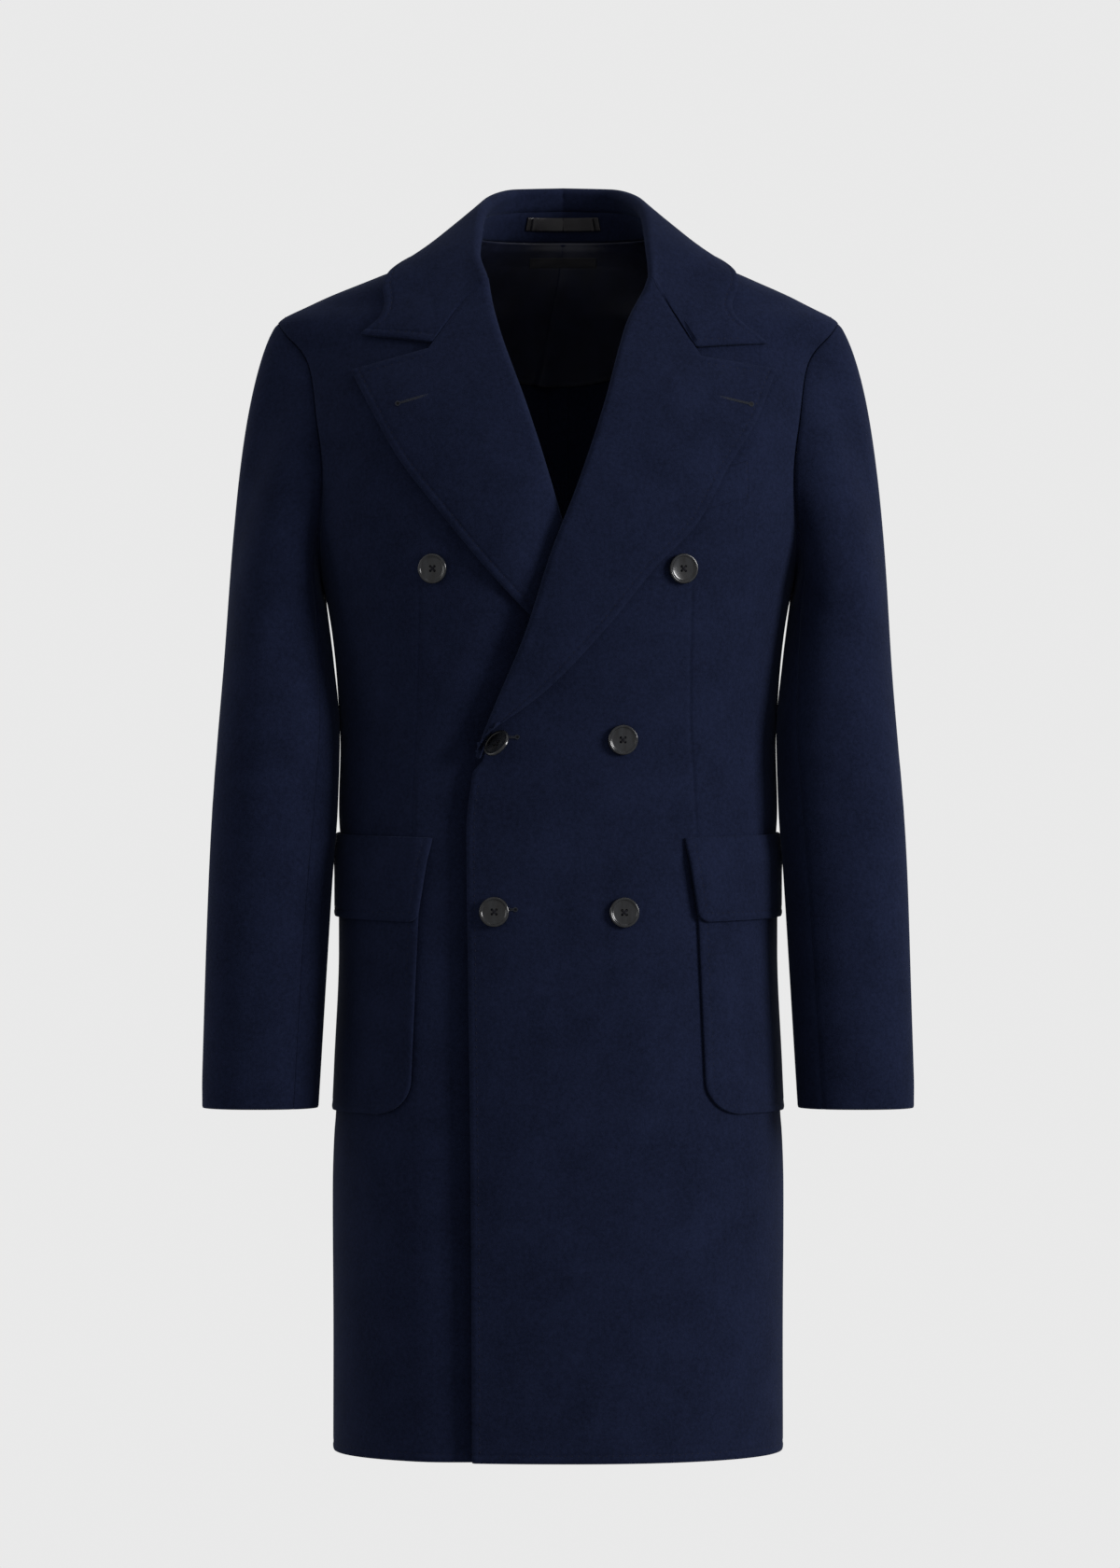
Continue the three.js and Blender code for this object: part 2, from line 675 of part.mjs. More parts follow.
function necklinePlace(side, along) {
  if (along < FRONT_NECK_SHARE) {
    const height = mix(GORGE_TOP + 3, NECKLINE, along / FRONT_NECK_SHARE);
    return { angle: frontAngle(panelEdge(side, height) - STAND_SET_IN, height), height };
  }
  const start = frontAngle(panelEdge(side, NECKLINE) - STAND_SET_IN, NECKLINE);
  const share = (along - FRONT_NECK_SHARE) / (1 - FRONT_NECK_SHARE);
  return { angle: mix(start, CENTRE_BACK, share), height: NECKLINE };
}

// The frame of the fold: out points from the fold to the free edge, and face away from the neck
function foldFrame(side, along) {
  const lines = collarLines[side];
  const fold = foldPoint(side, along);
  const edge = torsoPoint(lines.edgeAngle(along), lines.edgeHeight(along), COLLAR_LIFT);
  const step = 0.01;
  const before = foldPoint(side, Math.max(0, along - step));
  const tangent = foldPoint(side, Math.min(1, along + step)).sub(before);
  if (along > 0.999) tangent.set(-1, 0, 0);
  const out = edge.clone().sub(fold).normalize();
  const face = tangent.cross(out).normalize();
  if (face.dot(new THREE.Vector3(fold.x, fold.y, 40)) < 0) face.negate();
  return { fold, edge, out, face };
}

function collarForm(side, column, along) {
  const { fold, edge, out, face } = foldFrame(side, along);
  const radius = FOLD_RADIUS;
  const centre = fold.clone().addScaledVector(out, radius);
  if (column <= 0 && column >= -1) {
    const turn = (column + 1) * Math.PI;
    centre.addScaledVector(out, -radius * Math.sin(turn));
    return centre.addScaledVector(face, -radius * Math.cos(turn));
  }
  if (column < -1) {
    const place = necklinePlace(side, along);
    const foot = torsoSkin(place.angle, place.height);
    foot.addScaledVector(new THREE.Vector3(foot.x, foot.y, 0).normalize(), -1.5);
    foot.z += 0.6;
    const head = centre.addScaledVector(face, -radius);
    const rise = STAND_LEAST + (1 - STAND_LEAST) * smooth(0.25, 0.5, along);
    return head.lerp(foot, -(column + 1) * rise);
  }
  const start = centre.addScaledVector(face, radius);
  const p = start.lerp(edge, column);
  p.addScaledVector(face, COLLAR_ARCH * Math.sin(Math.PI * column));
  return p;
}

// The collar's front end: the seam to the lapel, then the free edge from the notch to the tip
function collarEnd(side, column) {
  if (column <= NOTCH_SHARE) {
    const p = lapelPoint(side)(column > 0 ? column * GORGE_SHARE : Math.max(-1, column), 1);
    const { roll } = lapelSection(side, 1);
    const notch = NOTCH[side].lapel;
    const run = Math.hypot(notch.across - roll.across, notch.height - roll.height);
    const apart = column > 0 ? SEAM_GAP + 0.25 : SEAM_GAP + 0.4;
    p.x += (apart * (roll.height - notch.height)) / run;
    p.z += (apart * (notch.across - roll.across)) / run;
    p.y += 0.4 * smooth(0, NOTCH_SHARE, column);
    return p;
  }
  const { collar, tip } = NOTCH[side];
  const t = (column - NOTCH_SHARE) / (1 - NOTCH_SHARE);
  const lift = mix(NOTCH_LIFT, COLLAR_LIFT, t);
  return onFront(side, mix(collar.across, tip.across, t), mix(collar.height, tip.height, t), lift);
}

function collarPoint(side) {
  return (column, along) => {
    const p = collarForm(side, column, along);
    const near = 1 - smooth(0, 0.3, along);
    if (near > 0) {
      const target = collarEnd(side, Math.max(-1, column));
      const own = collarForm(side, Math.max(-1, column), 0);
      p.addScaledVector(target.sub(own), near);
    }
    if (column > 0) {
      const floor = torsoLevel(p.x, p.y) + COLLAR_LIFT * 1.08;
      const reach = 2.5;
      const share = clamp(0.5 + (0.5 * (p.z - floor)) / reach);
      const lifted = mix(floor, p.z, share) + reach * share * (1 - share);
      p.z = mix(p.z, lifted, smooth(0.0, 0.2, along) * smooth(0, 0.15, column));
    }
    return p;
  };
}

// The whole collar: place runs -1 at the right lapel to 1 at the left lapel
function wholeCollar(column, place) {
  const side = place >= 0 ? "left" : "right";
  const p = collarPoint(side)(column, Math.min(1, 1 - Math.abs(place)));
  p.x *= sideSign(side);
  return p;
}

const collarNormal = surfaceInward(wholeCollar);
function collarInward(column, place) {
  const limited = Math.max(-0.997, Math.min(0.997, place));
  const safe = Math.abs(limited) < 0.004 ? 0.004 : limited;
  return collarNormal(column, safe).negate();
}

const collarPlaces = [
  -1, -0.94, -0.87, -0.79, -0.7, -0.62, -0.54, -0.46, -0.36, -0.24, -0.12, 0,
  0.12, 0.24, 0.36, 0.46, 0.54, 0.62, 0.7, 0.79, 0.87, 0.94, 1,
];

function collarWall() {
  const turned = [-2 + STAND_SEAM + 0.008, -1, -0.75, -0.5, -0.25, 0];
  const columns = [...turned, 0.17, 0.35, NOTCH_SHARE, 0.68, 0.84, 1];
  return wall(wholeCollar, collarInward, columns, collarPlaces, TURNED_CLOTH);
}

function standWall() {
  const columns = [-2, -2 + STAND_SEAM / 2, -2 + STAND_SEAM - 0.008];
  const places = collarPlaces.filter((place) => Math.abs(place) < 0.5);
  return wall(wholeCollar, collarInward, columns, places, TURNED_CLOTH - 0.6);
}

function lapelWall(side) {
  const point = mirrored(side, lapelPoint(side));
  const columns = [-1, -0.75, -0.5, -0.25, 0, 0.17, 0.35, NOTCH_SHARE, 0.68, 0.84, 1];
  const normal = surfaceInward(point);
  const sign = sideSign(side);
  const into = (u, v) => normal(u, Math.min(0.997, Math.max(0.003, v))).multiplyScalar(-sign);
  return wall(point, into, columns, spread(0, 1, 13), TURNED_CLOTH);
}

// Pieces laid on a front
function laidWall(side, shape, us, vs, thickness) {
  const point = (u, v) => {
    const { angle, height, out } = shape(u, v);
    const across = torsoSkin(angle, height).x;
    return torsoPoint(angle, height, out + (angle < SHOULDER_SEAM ? frontLift(side, across, height) : 0));
  };
  const sign = sideSign(side);
  const into = (u, v) => {
    const { angle, height } = shape(u, v);
    const n = torsoNormal(angle, height).negate();
    n.x *= sign;
    return n;
  };
  return wall(mirrored(side, point), into, us, vs, thickness);
}

// How far a rounded corner takes the edge in, at a height above the corner's lowest point
function cornerInset(radius, above) {
  return above >= radius ? 0 : radius - Math.sqrt(radius ** 2 - (radius - above) ** 2);
}

function pocketShape(u, v) {
  const height = mix(POCKET.bottom, POCKET.top, v);
  const above = height - POCKET.bottom;
  const inner = mix(POCKET.lowAcross, POCKET.topAcross, v) + cornerInset(POCKET.corner, above);
  const outer = POCKET.backAngle - cornerInset(POCKET.backCorner, above) / halfWidth(height);
  return { angle: mix(frontAngle(inner, height), outer, u), height, out: LAID_GAP + CLOTH };
}

function flapShape(u, v) {
  const level = mix(FLAP.bottom, FLAP.top, v);
  const above = level - FLAP.bottom;
  const inner = mix(FLAP.lowAcross, FLAP.topAcross, v) + cornerInset(FLAP.corner, above);
  const outer = FLAP.backAngle - cornerInset(FLAP.corner, above) / halfWidth(level);
  const height = level + FLAP.rise * u;
  const overPocket = 1 - smooth(POCKET.top + 3, FLAP.top, level);
  const out = LAID_GAP + TURNED_CLOTH - 0.6 + overPocket * (CLOTH + LAID_GAP);
  return { angle: mix(frontAngle(inner, level), outer, u), height, out };
}

function weltShape(u, v) {
  const across = mix(WELT.start, WELT.end, u);
  const height = mix(WELT.startHeight, WELT.endHeight, u) + WELT.tall * v;
  return { angle: frontAngle(across, height), height, out: 0.5 + WELT_CLOTH };
}

const cornerRows = (radius, length) => [
  ...[0.002, 0.035, 0.14, 0.32, 0.6].map((share) => (share * radius) / length),
  ...spread(radius / length, 1, 5),
];

// Half-moon lining of the back neck, inside the back panels
function liningPoint(u, v) {
  const away = Math.abs(u) * LINING.reach;
  const low = LINING.lowMiddle + LINING.rise * Math.abs(u) ** 2.2;
  const height = mix(low, LINING.top, v);
  return torsoPoint(CENTRE_BACK - Math.sign(u) * away, height, -CLOTH - LINING_GAP);
}

function liningInward(u, v) {
  const p = liningPoint(u, v);
  return torsoNormal(Math.atan2(p.x, -p.y), p.z).negate();
}

// A strip across the centre back, on the neck side of another piece
function backStrip(size, place) {
  const point = (u, v) => {
    const { p, n } = place((u * size.length) / 2, size.height + (v * size.tall) / 2);
    return p.addScaledVector(n, size.gap + size.thickness);
  };
  const into = (u, v) => place((u * size.length) / 2, size.height + (v * size.tall) / 2).n.negate();
  return wall(point, into, spread(-1, 1, 6), [-1, 1], size.thickness);
}

const NECK_ARC = 210; // millimetres of stand to one unit of place, near the centre back
function onStand(across, height) {
  const place = across / NECK_ARC;
  const foot = wholeCollar(-2, place);
  const head = wholeCollar(-1, place);
  const column = -2 + (height - foot.z) / (head.z - foot.z);
  return { p: wholeCollar(column, place), n: collarInward(column, place).negate() };
}

function onLining(across, height) {
  const angle = CENTRE_BACK - across / backDepth(height);
  const out = -CLOTH - LINING_GAP - LINING_CLOTH;
  return { p: torsoPoint(angle, height, out), n: torsoNormal(angle, height).negate() };
}

// Buttons: a turned disc with a raised rim, a dished middle and four holes
const library = await Module();
library.setup();

function toManifold(geometry) {
  const bare = geometry.index ? geometry.toNonIndexed() : geometry;
  bare.deleteAttribute("normal");
  bare.deleteAttribute("uv");
  const merged = mergeVertices(bare, 1e-4);
  return new library.Manifold(
    new library.Mesh({
      numProp: 3,
      vertProperties: merged.attributes.position.array,
      triVerts: new Uint32Array(merged.index.array),
    }),
  );
}

function fromManifold(solid) {
  const made = solid.getMesh();
  const geometry = new THREE.BufferGeometry();
  geometry.setAttribute("position", new THREE.Float32BufferAttribute(made.vertProperties, 3));
  geometry.setIndex([...made.triVerts]);
  return geometry;
}

// Half a section of a button, from the middle of its back round to the middle of its face
const BUTTON_PROFILE = [
  [0, 0],
  [BUTTON.radius * 0.7, 0],
  [BUTTON.radius * 0.97, BUTTON.thickness * 0.35],
  [BUTTON.radius, BUTTON.thickness * 0.7],
  [BUTTON.radius - BUTTON.rim * 0.45, BUTTON.thickness],
  [BUTTON.radius - BUTTON.rim, BUTTON.thickness - BUTTON.dish],
  [0, BUTTON.thickness - BUTTON.dish * 1.5],
];

function buttonGeometry() {
  const { thickness, holeRadius, holeCircle } = BUTTON;
  const profile = BUTTON_PROFILE.map(([r, z]) => new THREE.Vector2(r, z));
  const lathe = new THREE.LatheGeometry(profile, 20);
  lathe.rotateX(Math.PI / 2);
  let holed = toManifold(lathe);
  for (let i = 0; i < 4; i += 1) {
    const turn = degrees(45 + 90 * i);
    const drill = new THREE.CylinderGeometry(holeRadius, holeRadius, thickness * 3, 6);
    drill.rotateX(Math.PI / 2);
    drill.translate(holeCircle * Math.cos(turn), holeCircle * Math.sin(turn), 0);
    holed = holed.subtract(toManifold(drill));
  }
  return fromManifold(holed);
}

const BUTTON_GAP = 0.6; // air between a button's back and the cloth
const TIPPED_TOWARDS = new THREE.Vector3(-0.67, 0, 0.74); // the way that a tipped button faces

function frontFacing(side, across, height) {
  const step = 6;
  const sideways = onFront(side, across + step, height).sub(onFront(side, across - step, height));
  const up = onFront(side, across, height + step).sub(onFront(side, across, height - step));
  return sideways.cross(up).normalize();
}

// How far a disc that is tipped reaches below its centre
function tippedReach(tilt) {
  return Math.max(...BUTTON_PROFILE.map(([r, h]) => r * Math.sin(tilt) - h * Math.cos(tilt)));
}

function placeButton(mesh, { side, across, height, tilt = 0 }) {
  const facing = frontFacing(side, across, height);
  const centre = onFront(side, across, height).addScaledVector(facing, BUTTON_GAP + tippedReach(tilt));
  const axis = facing.clone().cross(TIPPED_TOWARDS).normalize();
  facing.applyAxisAngle(axis, tilt);
  const sign = sideSign(side);
  facing.x *= sign;
  mesh.position.set(centre.x * sign, centre.y, centre.z);
  mesh.quaternion.setFromUnitVectors(new THREE.Vector3(0, 0, 1), facing);
}

// Materials
const wool = new THREE.MeshStandardMaterial({ color: 0x161d38, roughness: 0.95, metalness: 0 });
const liningTwill = new THREE.MeshStandardMaterial({ color: 0x0b1020, roughness: 0.5, metalness: 0 });
const horn = new THREE.MeshStandardMaterial({ color: 0x1b1c22, roughness: 0.25, metalness: 0 });
const satin = new THREE.MeshStandardMaterial({ color: 0x0c0b10, roughness: 0.3, metalness: 0 });

const coat = new THREE.Group();
coat.position.z = -CARRY_HEIGHT;

function add(name, geometry, material) {
  const mesh = new THREE.Mesh(geometry, material);
  mesh.name = name;
  coat.add(mesh);
  return mesh;
}

for (const side of ["left", "right"]) {
  add(`front_${side}`, bodyWall(side, frontPanel(side), FRONT_COLUMNS), wool);
  add(`back_${side}`, bodyWall(side, backPanel(), spread(0, 1, BACK_COLUMNS)), wool);
  add(`top_sleeve_${side}`, sleeveWall(side, SLEEVE_FRONT_SEAM, SLEEVE_BACK_SEAM), wool);
  add(`under_sleeve_${side}`, sleeveWall(side, SLEEVE_BACK_SEAM, 2 + SLEEVE_FRONT_SEAM), wool);
  add(`lapel_${side}`, lapelWall(side), wool);
  const pocketRows = cornerRows(POCKET.corner, POCKET.top - POCKET.bottom);
  add(`patch_pocket_${side}`, laidWall(side, pocketShape, LAID_COLUMNS, pocketRows, CLOTH), wool);
  const flapRows = cornerRows(FLAP.corner, FLAP.top - FLAP.bottom);
  add(`pocket_flap_${side}`, laidWall(side, flapShape, LAID_COLUMNS, flapRows, TURNED_CLOTH - 0.6), wool);
}
add("collar", collarWall(), wool);
add("collar_stand", standWall(), wool);
add("chest_welt", laidWall("left", weltShape, spread(0, 1, 6), [0, 0.5, 1], WELT_CLOTH), wool);
const liningWall = wall(liningPoint, liningInward, spread(-1, 1, 14), spread(0, 1, 5), LINING_CLOTH);
add("back_lining", liningWall, liningTwill);
add("hanger_loop", backStrip(HANGER, onStand), satin);
add("neck_label", backStrip(LABEL, onLining), satin);
const disc = buttonGeometry();
for (const button of BUTTONS) placeButton(add(button.name, disc.clone(), horn), button);

export default coat;
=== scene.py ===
# %% [markdown]
# # A double-breasted wool overcoat
# This lesson dresses a solid model of a coat with cloth, thread and buttons that are close to the
# real ones. The solids stay in the frame for physics, and each fine piece below stands for one of
# them. We load the frame first.

# %% Load the fixed frame
import json
import math

import bpy
import numpy as np
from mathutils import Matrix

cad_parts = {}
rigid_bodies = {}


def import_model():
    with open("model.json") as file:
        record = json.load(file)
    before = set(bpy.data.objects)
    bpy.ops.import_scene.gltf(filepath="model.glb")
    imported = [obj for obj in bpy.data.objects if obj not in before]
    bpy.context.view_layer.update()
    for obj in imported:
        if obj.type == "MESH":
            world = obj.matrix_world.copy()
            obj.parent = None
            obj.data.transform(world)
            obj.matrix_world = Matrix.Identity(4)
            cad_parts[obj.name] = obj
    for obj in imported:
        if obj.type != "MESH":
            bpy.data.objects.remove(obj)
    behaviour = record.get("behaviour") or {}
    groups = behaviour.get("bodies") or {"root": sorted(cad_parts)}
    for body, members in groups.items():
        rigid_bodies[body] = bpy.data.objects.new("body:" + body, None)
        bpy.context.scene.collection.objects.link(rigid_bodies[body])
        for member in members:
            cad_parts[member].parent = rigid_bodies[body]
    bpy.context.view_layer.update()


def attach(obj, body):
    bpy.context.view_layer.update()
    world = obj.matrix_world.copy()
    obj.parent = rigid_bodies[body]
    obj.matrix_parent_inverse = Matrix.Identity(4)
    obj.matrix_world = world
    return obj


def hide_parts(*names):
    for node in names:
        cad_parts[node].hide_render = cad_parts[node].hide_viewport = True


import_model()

# %% [markdown]
# ## How the coat's form is described
# The coat was drawn in millimetres above its hem, from level sections and a few edge tables. The
# same tables are used here, so a fine piece lies exactly where its solid is. A smooth curve
# through each table gives every size between its rows, and NumPy works on whole grids at once.

# %% Small helpers for blending and for curves through tables
CARRY_HEIGHT, NECK_LEAN = 980.0, 4.2
LEAN_START, LEAN_END = 950, 1000


def mix(a, b, t):
    return a + (b - a) * t


def smooth(start, end, x):
    t = np.clip((np.asarray(x, float) - start) / (end - start), 0, 1)
    return t * t * (3 - 2 * t)


def hump(x, centre, width):
    """A smooth hump of height one."""
    return np.exp(-(((x - centre) / width) ** 2))


def between(low, full, fade, high, x):
    """One inside a span and nothing outside it, with soft ends."""
    return smooth(low, full, x) * (1 - smooth(fade, high, x))


def joined(*runs):
    """Grid lines from several runs of values, sorted and without doubles."""
    return np.unique(np.concatenate(runs))


def curve(rows):
    """A curve through (x, y) rows that never overshoots them."""
    xs, ys = np.array(sorted(rows), float).T
    steps = np.diff(ys) / np.diff(xs)
    slopes = np.concatenate([steps[:1], steps[:1].repeat(len(xs) - 2), steps[-1:]])
    product, total = steps[:-1] * steps[1:], steps[:-1] + steps[1:]
    slopes[1:-1] = np.where(product > 0, 2 * product / np.where(total == 0, 1, total), 0)

    def at(x):
        x = np.clip(x, xs[0], xs[-1])
        i = np.clip(np.searchsorted(xs, x) - 1, 0, len(xs) - 2)
        width = xs[i + 1] - xs[i]
        t = (x - xs[i]) / width
        rest = 1 - t
        ends = rest * rest * (1 + 2 * t) * ys[i] + t * t * (3 - 2 * t) * ys[i + 1]
        return ends + width * (t * rest * rest * slopes[i] - t * t * rest * slopes[i + 1])

    return at


def curves(table):
    """A curve for each further column of a table, against its first column."""
    return [curve([(row[0], row[k]) for row in table]) for k in range(1, len(table[0]))]


def unit(v):
    return v / np.maximum(np.linalg.norm(v, axis=-1, keepdims=True), 1e-12)


def turned_to(vectors, wanted):
    """Vectors, each reversed where it points against another one."""
    return vectors * np.sign(np.sum(vectors * wanted, axis=-1, keepdims=True))


def vector(x, y, z):
    return np.stack(np.broadcast_arrays(x, y, z), axis=-1).astype(float)


def to_metres(points):
    """Coat sizes to the frame's metres, with the lean of the neck to the wearer's left."""
    points = np.array(points, float)
    points[..., 0] += NECK_LEAN * smooth(LEAN_START, LEAN_END, points[..., 2])
    return (points - (0, 0, CARRY_HEIGHT)) / 1000


print("half way through a rise of 2:", float(curve([(0, 0), (1, 2)])(0.5)))

# %% Sizes of the body
UNDERARM, SHOULDER_POINT, NECKLINE = 720.0, 945.0, 1018.0
GORGE_TOP, LAPEL_START = 977.0, 580.0
SIDE_SEAM, SHOULDER_SEAM, CENTRE_BACK = np.radians([97.0, 90.0, 180.0])
TORSO_POWER, SHOULDER_POWER = 2.3, 1.85
SHOULDER_TIP = {"out": 19, "tall": 15, "low": 26, "narrow": 0.3}  # the padded end of the shoulder
SECTIONS = [  # height, half width, front depth, back depth
    (0, 189, 150, 148), (220, 188.5, 150, 148), (320, 185, 149, 147), (420, 181, 146, 143),
    (480, 181, 143, 137), (535, 184, 139.5, 128), (590, 182.5, 137, 122), (640, 185, 139, 123.5),
    (680, 189, 141.5, 127.5), (720, 196, 143, 132), (771, 210, 141, 137), (825, 215, 132, 138),
    (877, 221, 117, 134), (908, 223.5, 104, 127), (928, 223.5, 93.5, 120), (942, 218.5, 85.5, 114.2),
    (953, 210, 79, 109), (965, 196.5, 72, 103), (982, 160, 64, 95), (1001, 113.5, 55, 87),
    (1018, 77.5, 47, 79), (1024, 66, 44, 76),
]
half_width, front_depth, back_depth = curves(SECTIONS)
FRONT_EDGE = {  # height, distance of the front edge or roll line from the centre
    "left": curve([
        (0, -70.5), (200, -71.5), (400, -74), (520, -75.4), (560, -71.2), (590, -64.3),
        (621, -52.4), (680, -27.7), (749, -5.5), (805, 16.3), (870, 37.6), (935, 55),
        (977, 71.3), (1018, 74),
    ]),
    "right": curve([
        (0, -68), (400, -70), (560, -70), (590, -65), (621, -54), (680, -34), (749, -12),
        (824, 10.8), (870, 25.7), (930, 47), (977, 60), (1018, 74),
    ]),
}
OVERLAP_DEPTH, OVERLAP_EASE = 14, 58  # how deep the under front is pushed in, and over what width
SIGN = {"left": 1.0, "right": -1.0}
FLIP = {side: np.array([sign, 1, 1]) for side, sign in SIGN.items()}


def ellipse_girth(across, deep):
    return round(2 * math.pi * math.sqrt((across**2 + deep**2) / 2))


print("girth at the hem, mm:", ellipse_girth(189, 149))

# %% The body's surface
def torso_power(height):
    """Level sections narrow towards the shoulder point."""
    return mix(TORSO_POWER, SHOULDER_POWER, between(850, 940, 955, 985, height))


def shoulder_tip(angle, height):
    above = height - SHOULDER_POINT
    rise = above / np.where(above > 0, SHOULDER_TIP["tall"], SHOULDER_TIP["low"])
    return SHOULDER_TIP["out"] * np.exp(-(rise**2) - (np.cos(angle) / SHOULDER_TIP["narrow"]) ** 2)


def torso_radius(angle, height):
    power = torso_power(height)
    depth = np.where(np.cos(angle) > 0, front_depth(height), back_depth(height))
    sideways = np.abs(np.sin(angle)) / half_width(height)
    forward = np.abs(np.cos(angle)) / depth
    return (sideways**power + forward**power) ** (-1 / power) + shoulder_tip(angle, height)


def torso_skin(angle, height):
    radius = torso_radius(angle, height)
    return vector(radius * np.sin(angle), -radius * np.cos(angle), height)


def torso_normal(angle, height):
    around = torso_skin(angle + 0.004, height) - torso_skin(angle - 0.004, height)
    up = torso_skin(angle, height + 0.5) - torso_skin(angle, height - 0.5)
    return unit(np.cross(around, up))


def torso_point(angle, height, out=0.0):
    return torso_skin(angle, height) + torso_normal(angle, height) * np.asarray(out, float)[..., None]


def front_angle(across, height):
    power = torso_power(height)
    share = np.minimum(0.999, np.abs(across) / half_width(height))
    forward = front_depth(height) * (1 - share**power) ** (1 / power)
    return np.arctan2(across, forward)


def front_lift(side, across, height):
    """The right front is pushed in where the left one crosses it."""
    if side == "left":
        return np.zeros(np.broadcast(across, height).shape)
    over_edge = -FRONT_EDGE["left"](height)
    return OVERLAP_DEPTH * (smooth(0, OVERLAP_EASE, across - over_edge + 12) - 1)


def on_front(side, across, height, out=0.0):
    angle = front_angle(across, height)
    return torso_point(angle, height, front_lift(side, across, height) + out)


def torso_level(across, depth):
    """The height at which the body's surface passes through a place seen from above."""
    angle, radius = np.arctan2(across, -depth), np.hypot(across, depth)
    low, high = np.full(radius.shape, 825.0), np.full(radius.shape, 1024.0)
    for _ in range(30):
        middle = (low + high) / 2
        outside = torso_radius(angle, middle) > radius
        low, high = np.where(outside, middle, low), np.where(outside, high, middle)
    return (low + high) / 2


print("shoulder point, mm:", np.round(torso_skin(SHOULDER_SEAM, SHOULDER_POINT), 1))

# %% [markdown]
# ## Cloth as a shell
# A piece of cloth is a grid of points with a wall behind it. Real edges aren't sharp: a turned edge
# is round, a seam rolls down into a valley, and a row of pick stitches draws a shallow groove
# beside the edge. All three depend only on the distance to the edge, so that distance is measured
# along the grid lines, and the points are moved along the surface's normal by a small profile.
# Cloth also never lies perfectly smooth. A few broad, uneven waves are added to that profile.

# %% Measure a grid and shape its edges
CLOTH, TURNED_CLOTH = 2.6, 3.6
STITCH_INSET, SEAM_BULGE = 6.5, 0.24
GROOVE_DEPTH, LIP_HEIGHT, EDGE_FALL = 0.42, 0.16, 0.45
VALLEY_DEPTH, RIDGE_HEIGHT = 0.75, 0.14


def grid_normals(points, outward):
    across, along = np.gradient(points, axis=1), np.gradient(points, axis=0)
    normals = unit(np.cross(across, along))
    return normals if np.sum(normals * outward) > 0 else -normals


def edge_distances(points):
    """Distance in mm from every grid point to the left, right, low and top edge."""
    sideways = np.linalg.norm(np.diff(points, axis=1), axis=-1)
    upright = np.linalg.norm(np.diff(points, axis=0), axis=-1)
    left = np.concatenate([np.zeros((len(points), 1)), np.cumsum(sideways, axis=1)], axis=1)
    low = np.concatenate([np.zeros((1, points.shape[1])), np.cumsum(upright, axis=0)], axis=0)
    return {"left": left, "right": left[:, -1:] - left, "low": low, "top": low[-1:] - low}


def stitched(distance):
    """The profile of a turned edge with a row of pick stitches beside it."""
    groove = -GROOVE_DEPTH * hump(distance, STITCH_INSET, 1.3)
    lip = LIP_HEIGHT * hump(distance, 3.4, 1.8)
    return groove + lip - EDGE_FALL * (1 - smooth(0, 1.8, distance))


def seamed(distance):
    """The profile of a seam: a valley with a low ridge beside it."""
    return -VALLEY_DEPTH * hump(distance, 0, 2.4) + RIDGE_HEIGHT * hump(distance, 5, 2.2)


print("groove beside an edge, mm:", round(float(stitched(STITCH_INSET)), 2))

# %% Make a closed shell from a grid
RIM_SHARES = (0.12, 0.32, 0.5, 0.68, 0.88)  # where the rim's rings lie between outside and inside


def add_object(name, data):
    """A new object with this data, put into the scene."""
    made = bpy.data.objects.new(name, data)
    bpy.context.collection.objects.link(made)
    return made


def mesh_object(name, points, faces, material, uvs=None):
    """A smooth mesh in metres, with its faces turned outwards."""
    points = to_metres(points)
    faces = np.asarray(faces)
    a, b, c = (points[faces[:, k]] for k in range(3))
    volume = np.einsum("ij,ij->", a, np.cross(b, c))
    if faces.shape[1] == 4:
        volume += np.einsum("ij,ij->", a, np.cross(c, points[faces[:, 3]]))
    if volume < 0:
        faces = faces[:, ::-1]
    mesh = bpy.data.meshes.new(name)
    mesh.from_pydata(points.tolist(), [], faces.tolist())
    mesh.shade_smooth()
    if uvs is not None:
        layer = mesh.uv_layers.new(name="cloth")
        layer.data.foreach_set("uv", (uvs[faces.ravel()] / 1000).astype(np.float32).ravel())
    mesh.materials.append(material)
    return add_object(name, mesh)


def shell(name, outer, inner, material, bulge):
    """Outer and inner grids joined by a rounded rim."""
    rows, columns = outer.shape[:2]
    index = np.arange(rows * columns).reshape(rows, columns)
    corners = [index[:-1, :-1], index[:-1, 1:], index[1:, 1:], index[1:, :-1]]
    front = np.stack(corners, -1).reshape(-1, 4)
    half = rows * columns
    rim = np.concatenate([index[0], index[1:, -1], index[-1, -2::-1], index[-2:0:-1, 0]])
    flat_outer, flat_inner = outer.reshape(-1, 3), inner.reshape(-1, 3)
    j, i = rim // columns, rim % columns
    inside = np.clip(j, 1, rows - 2) * columns + np.clip(i, 1, columns - 2)
    away = unit(flat_outer[rim] - flat_outer[inside])
    loops, rings = [flat_outer, flat_inner], [rim]
    for k, share in enumerate(RIM_SHARES):
        swell = bulge * math.sin(math.pi * share) ** 0.6
        loops.append(mix(flat_outer[rim], flat_inner[rim], share) + away * swell)
        rings.append(2 * half + k * len(rim) + np.arange(len(rim)))
    rings.append(rim + half)
    faces = [front, front[:, ::-1] + half]
    for near, far in zip(rings[:-1], rings[1:]):
        faces.append(np.stack([np.roll(near, -1), near, far, np.roll(far, -1)], -1))
    distance = edge_distances(outer)
    uv = np.stack([distance["left"], distance["low"]], -1).reshape(-1, 2)
    uvs = np.concatenate([uv, uv] + [uv[rim]] * len(RIM_SHARES))
    return mesh_object(name, np.concatenate(loops), np.concatenate(faces), material, uvs)


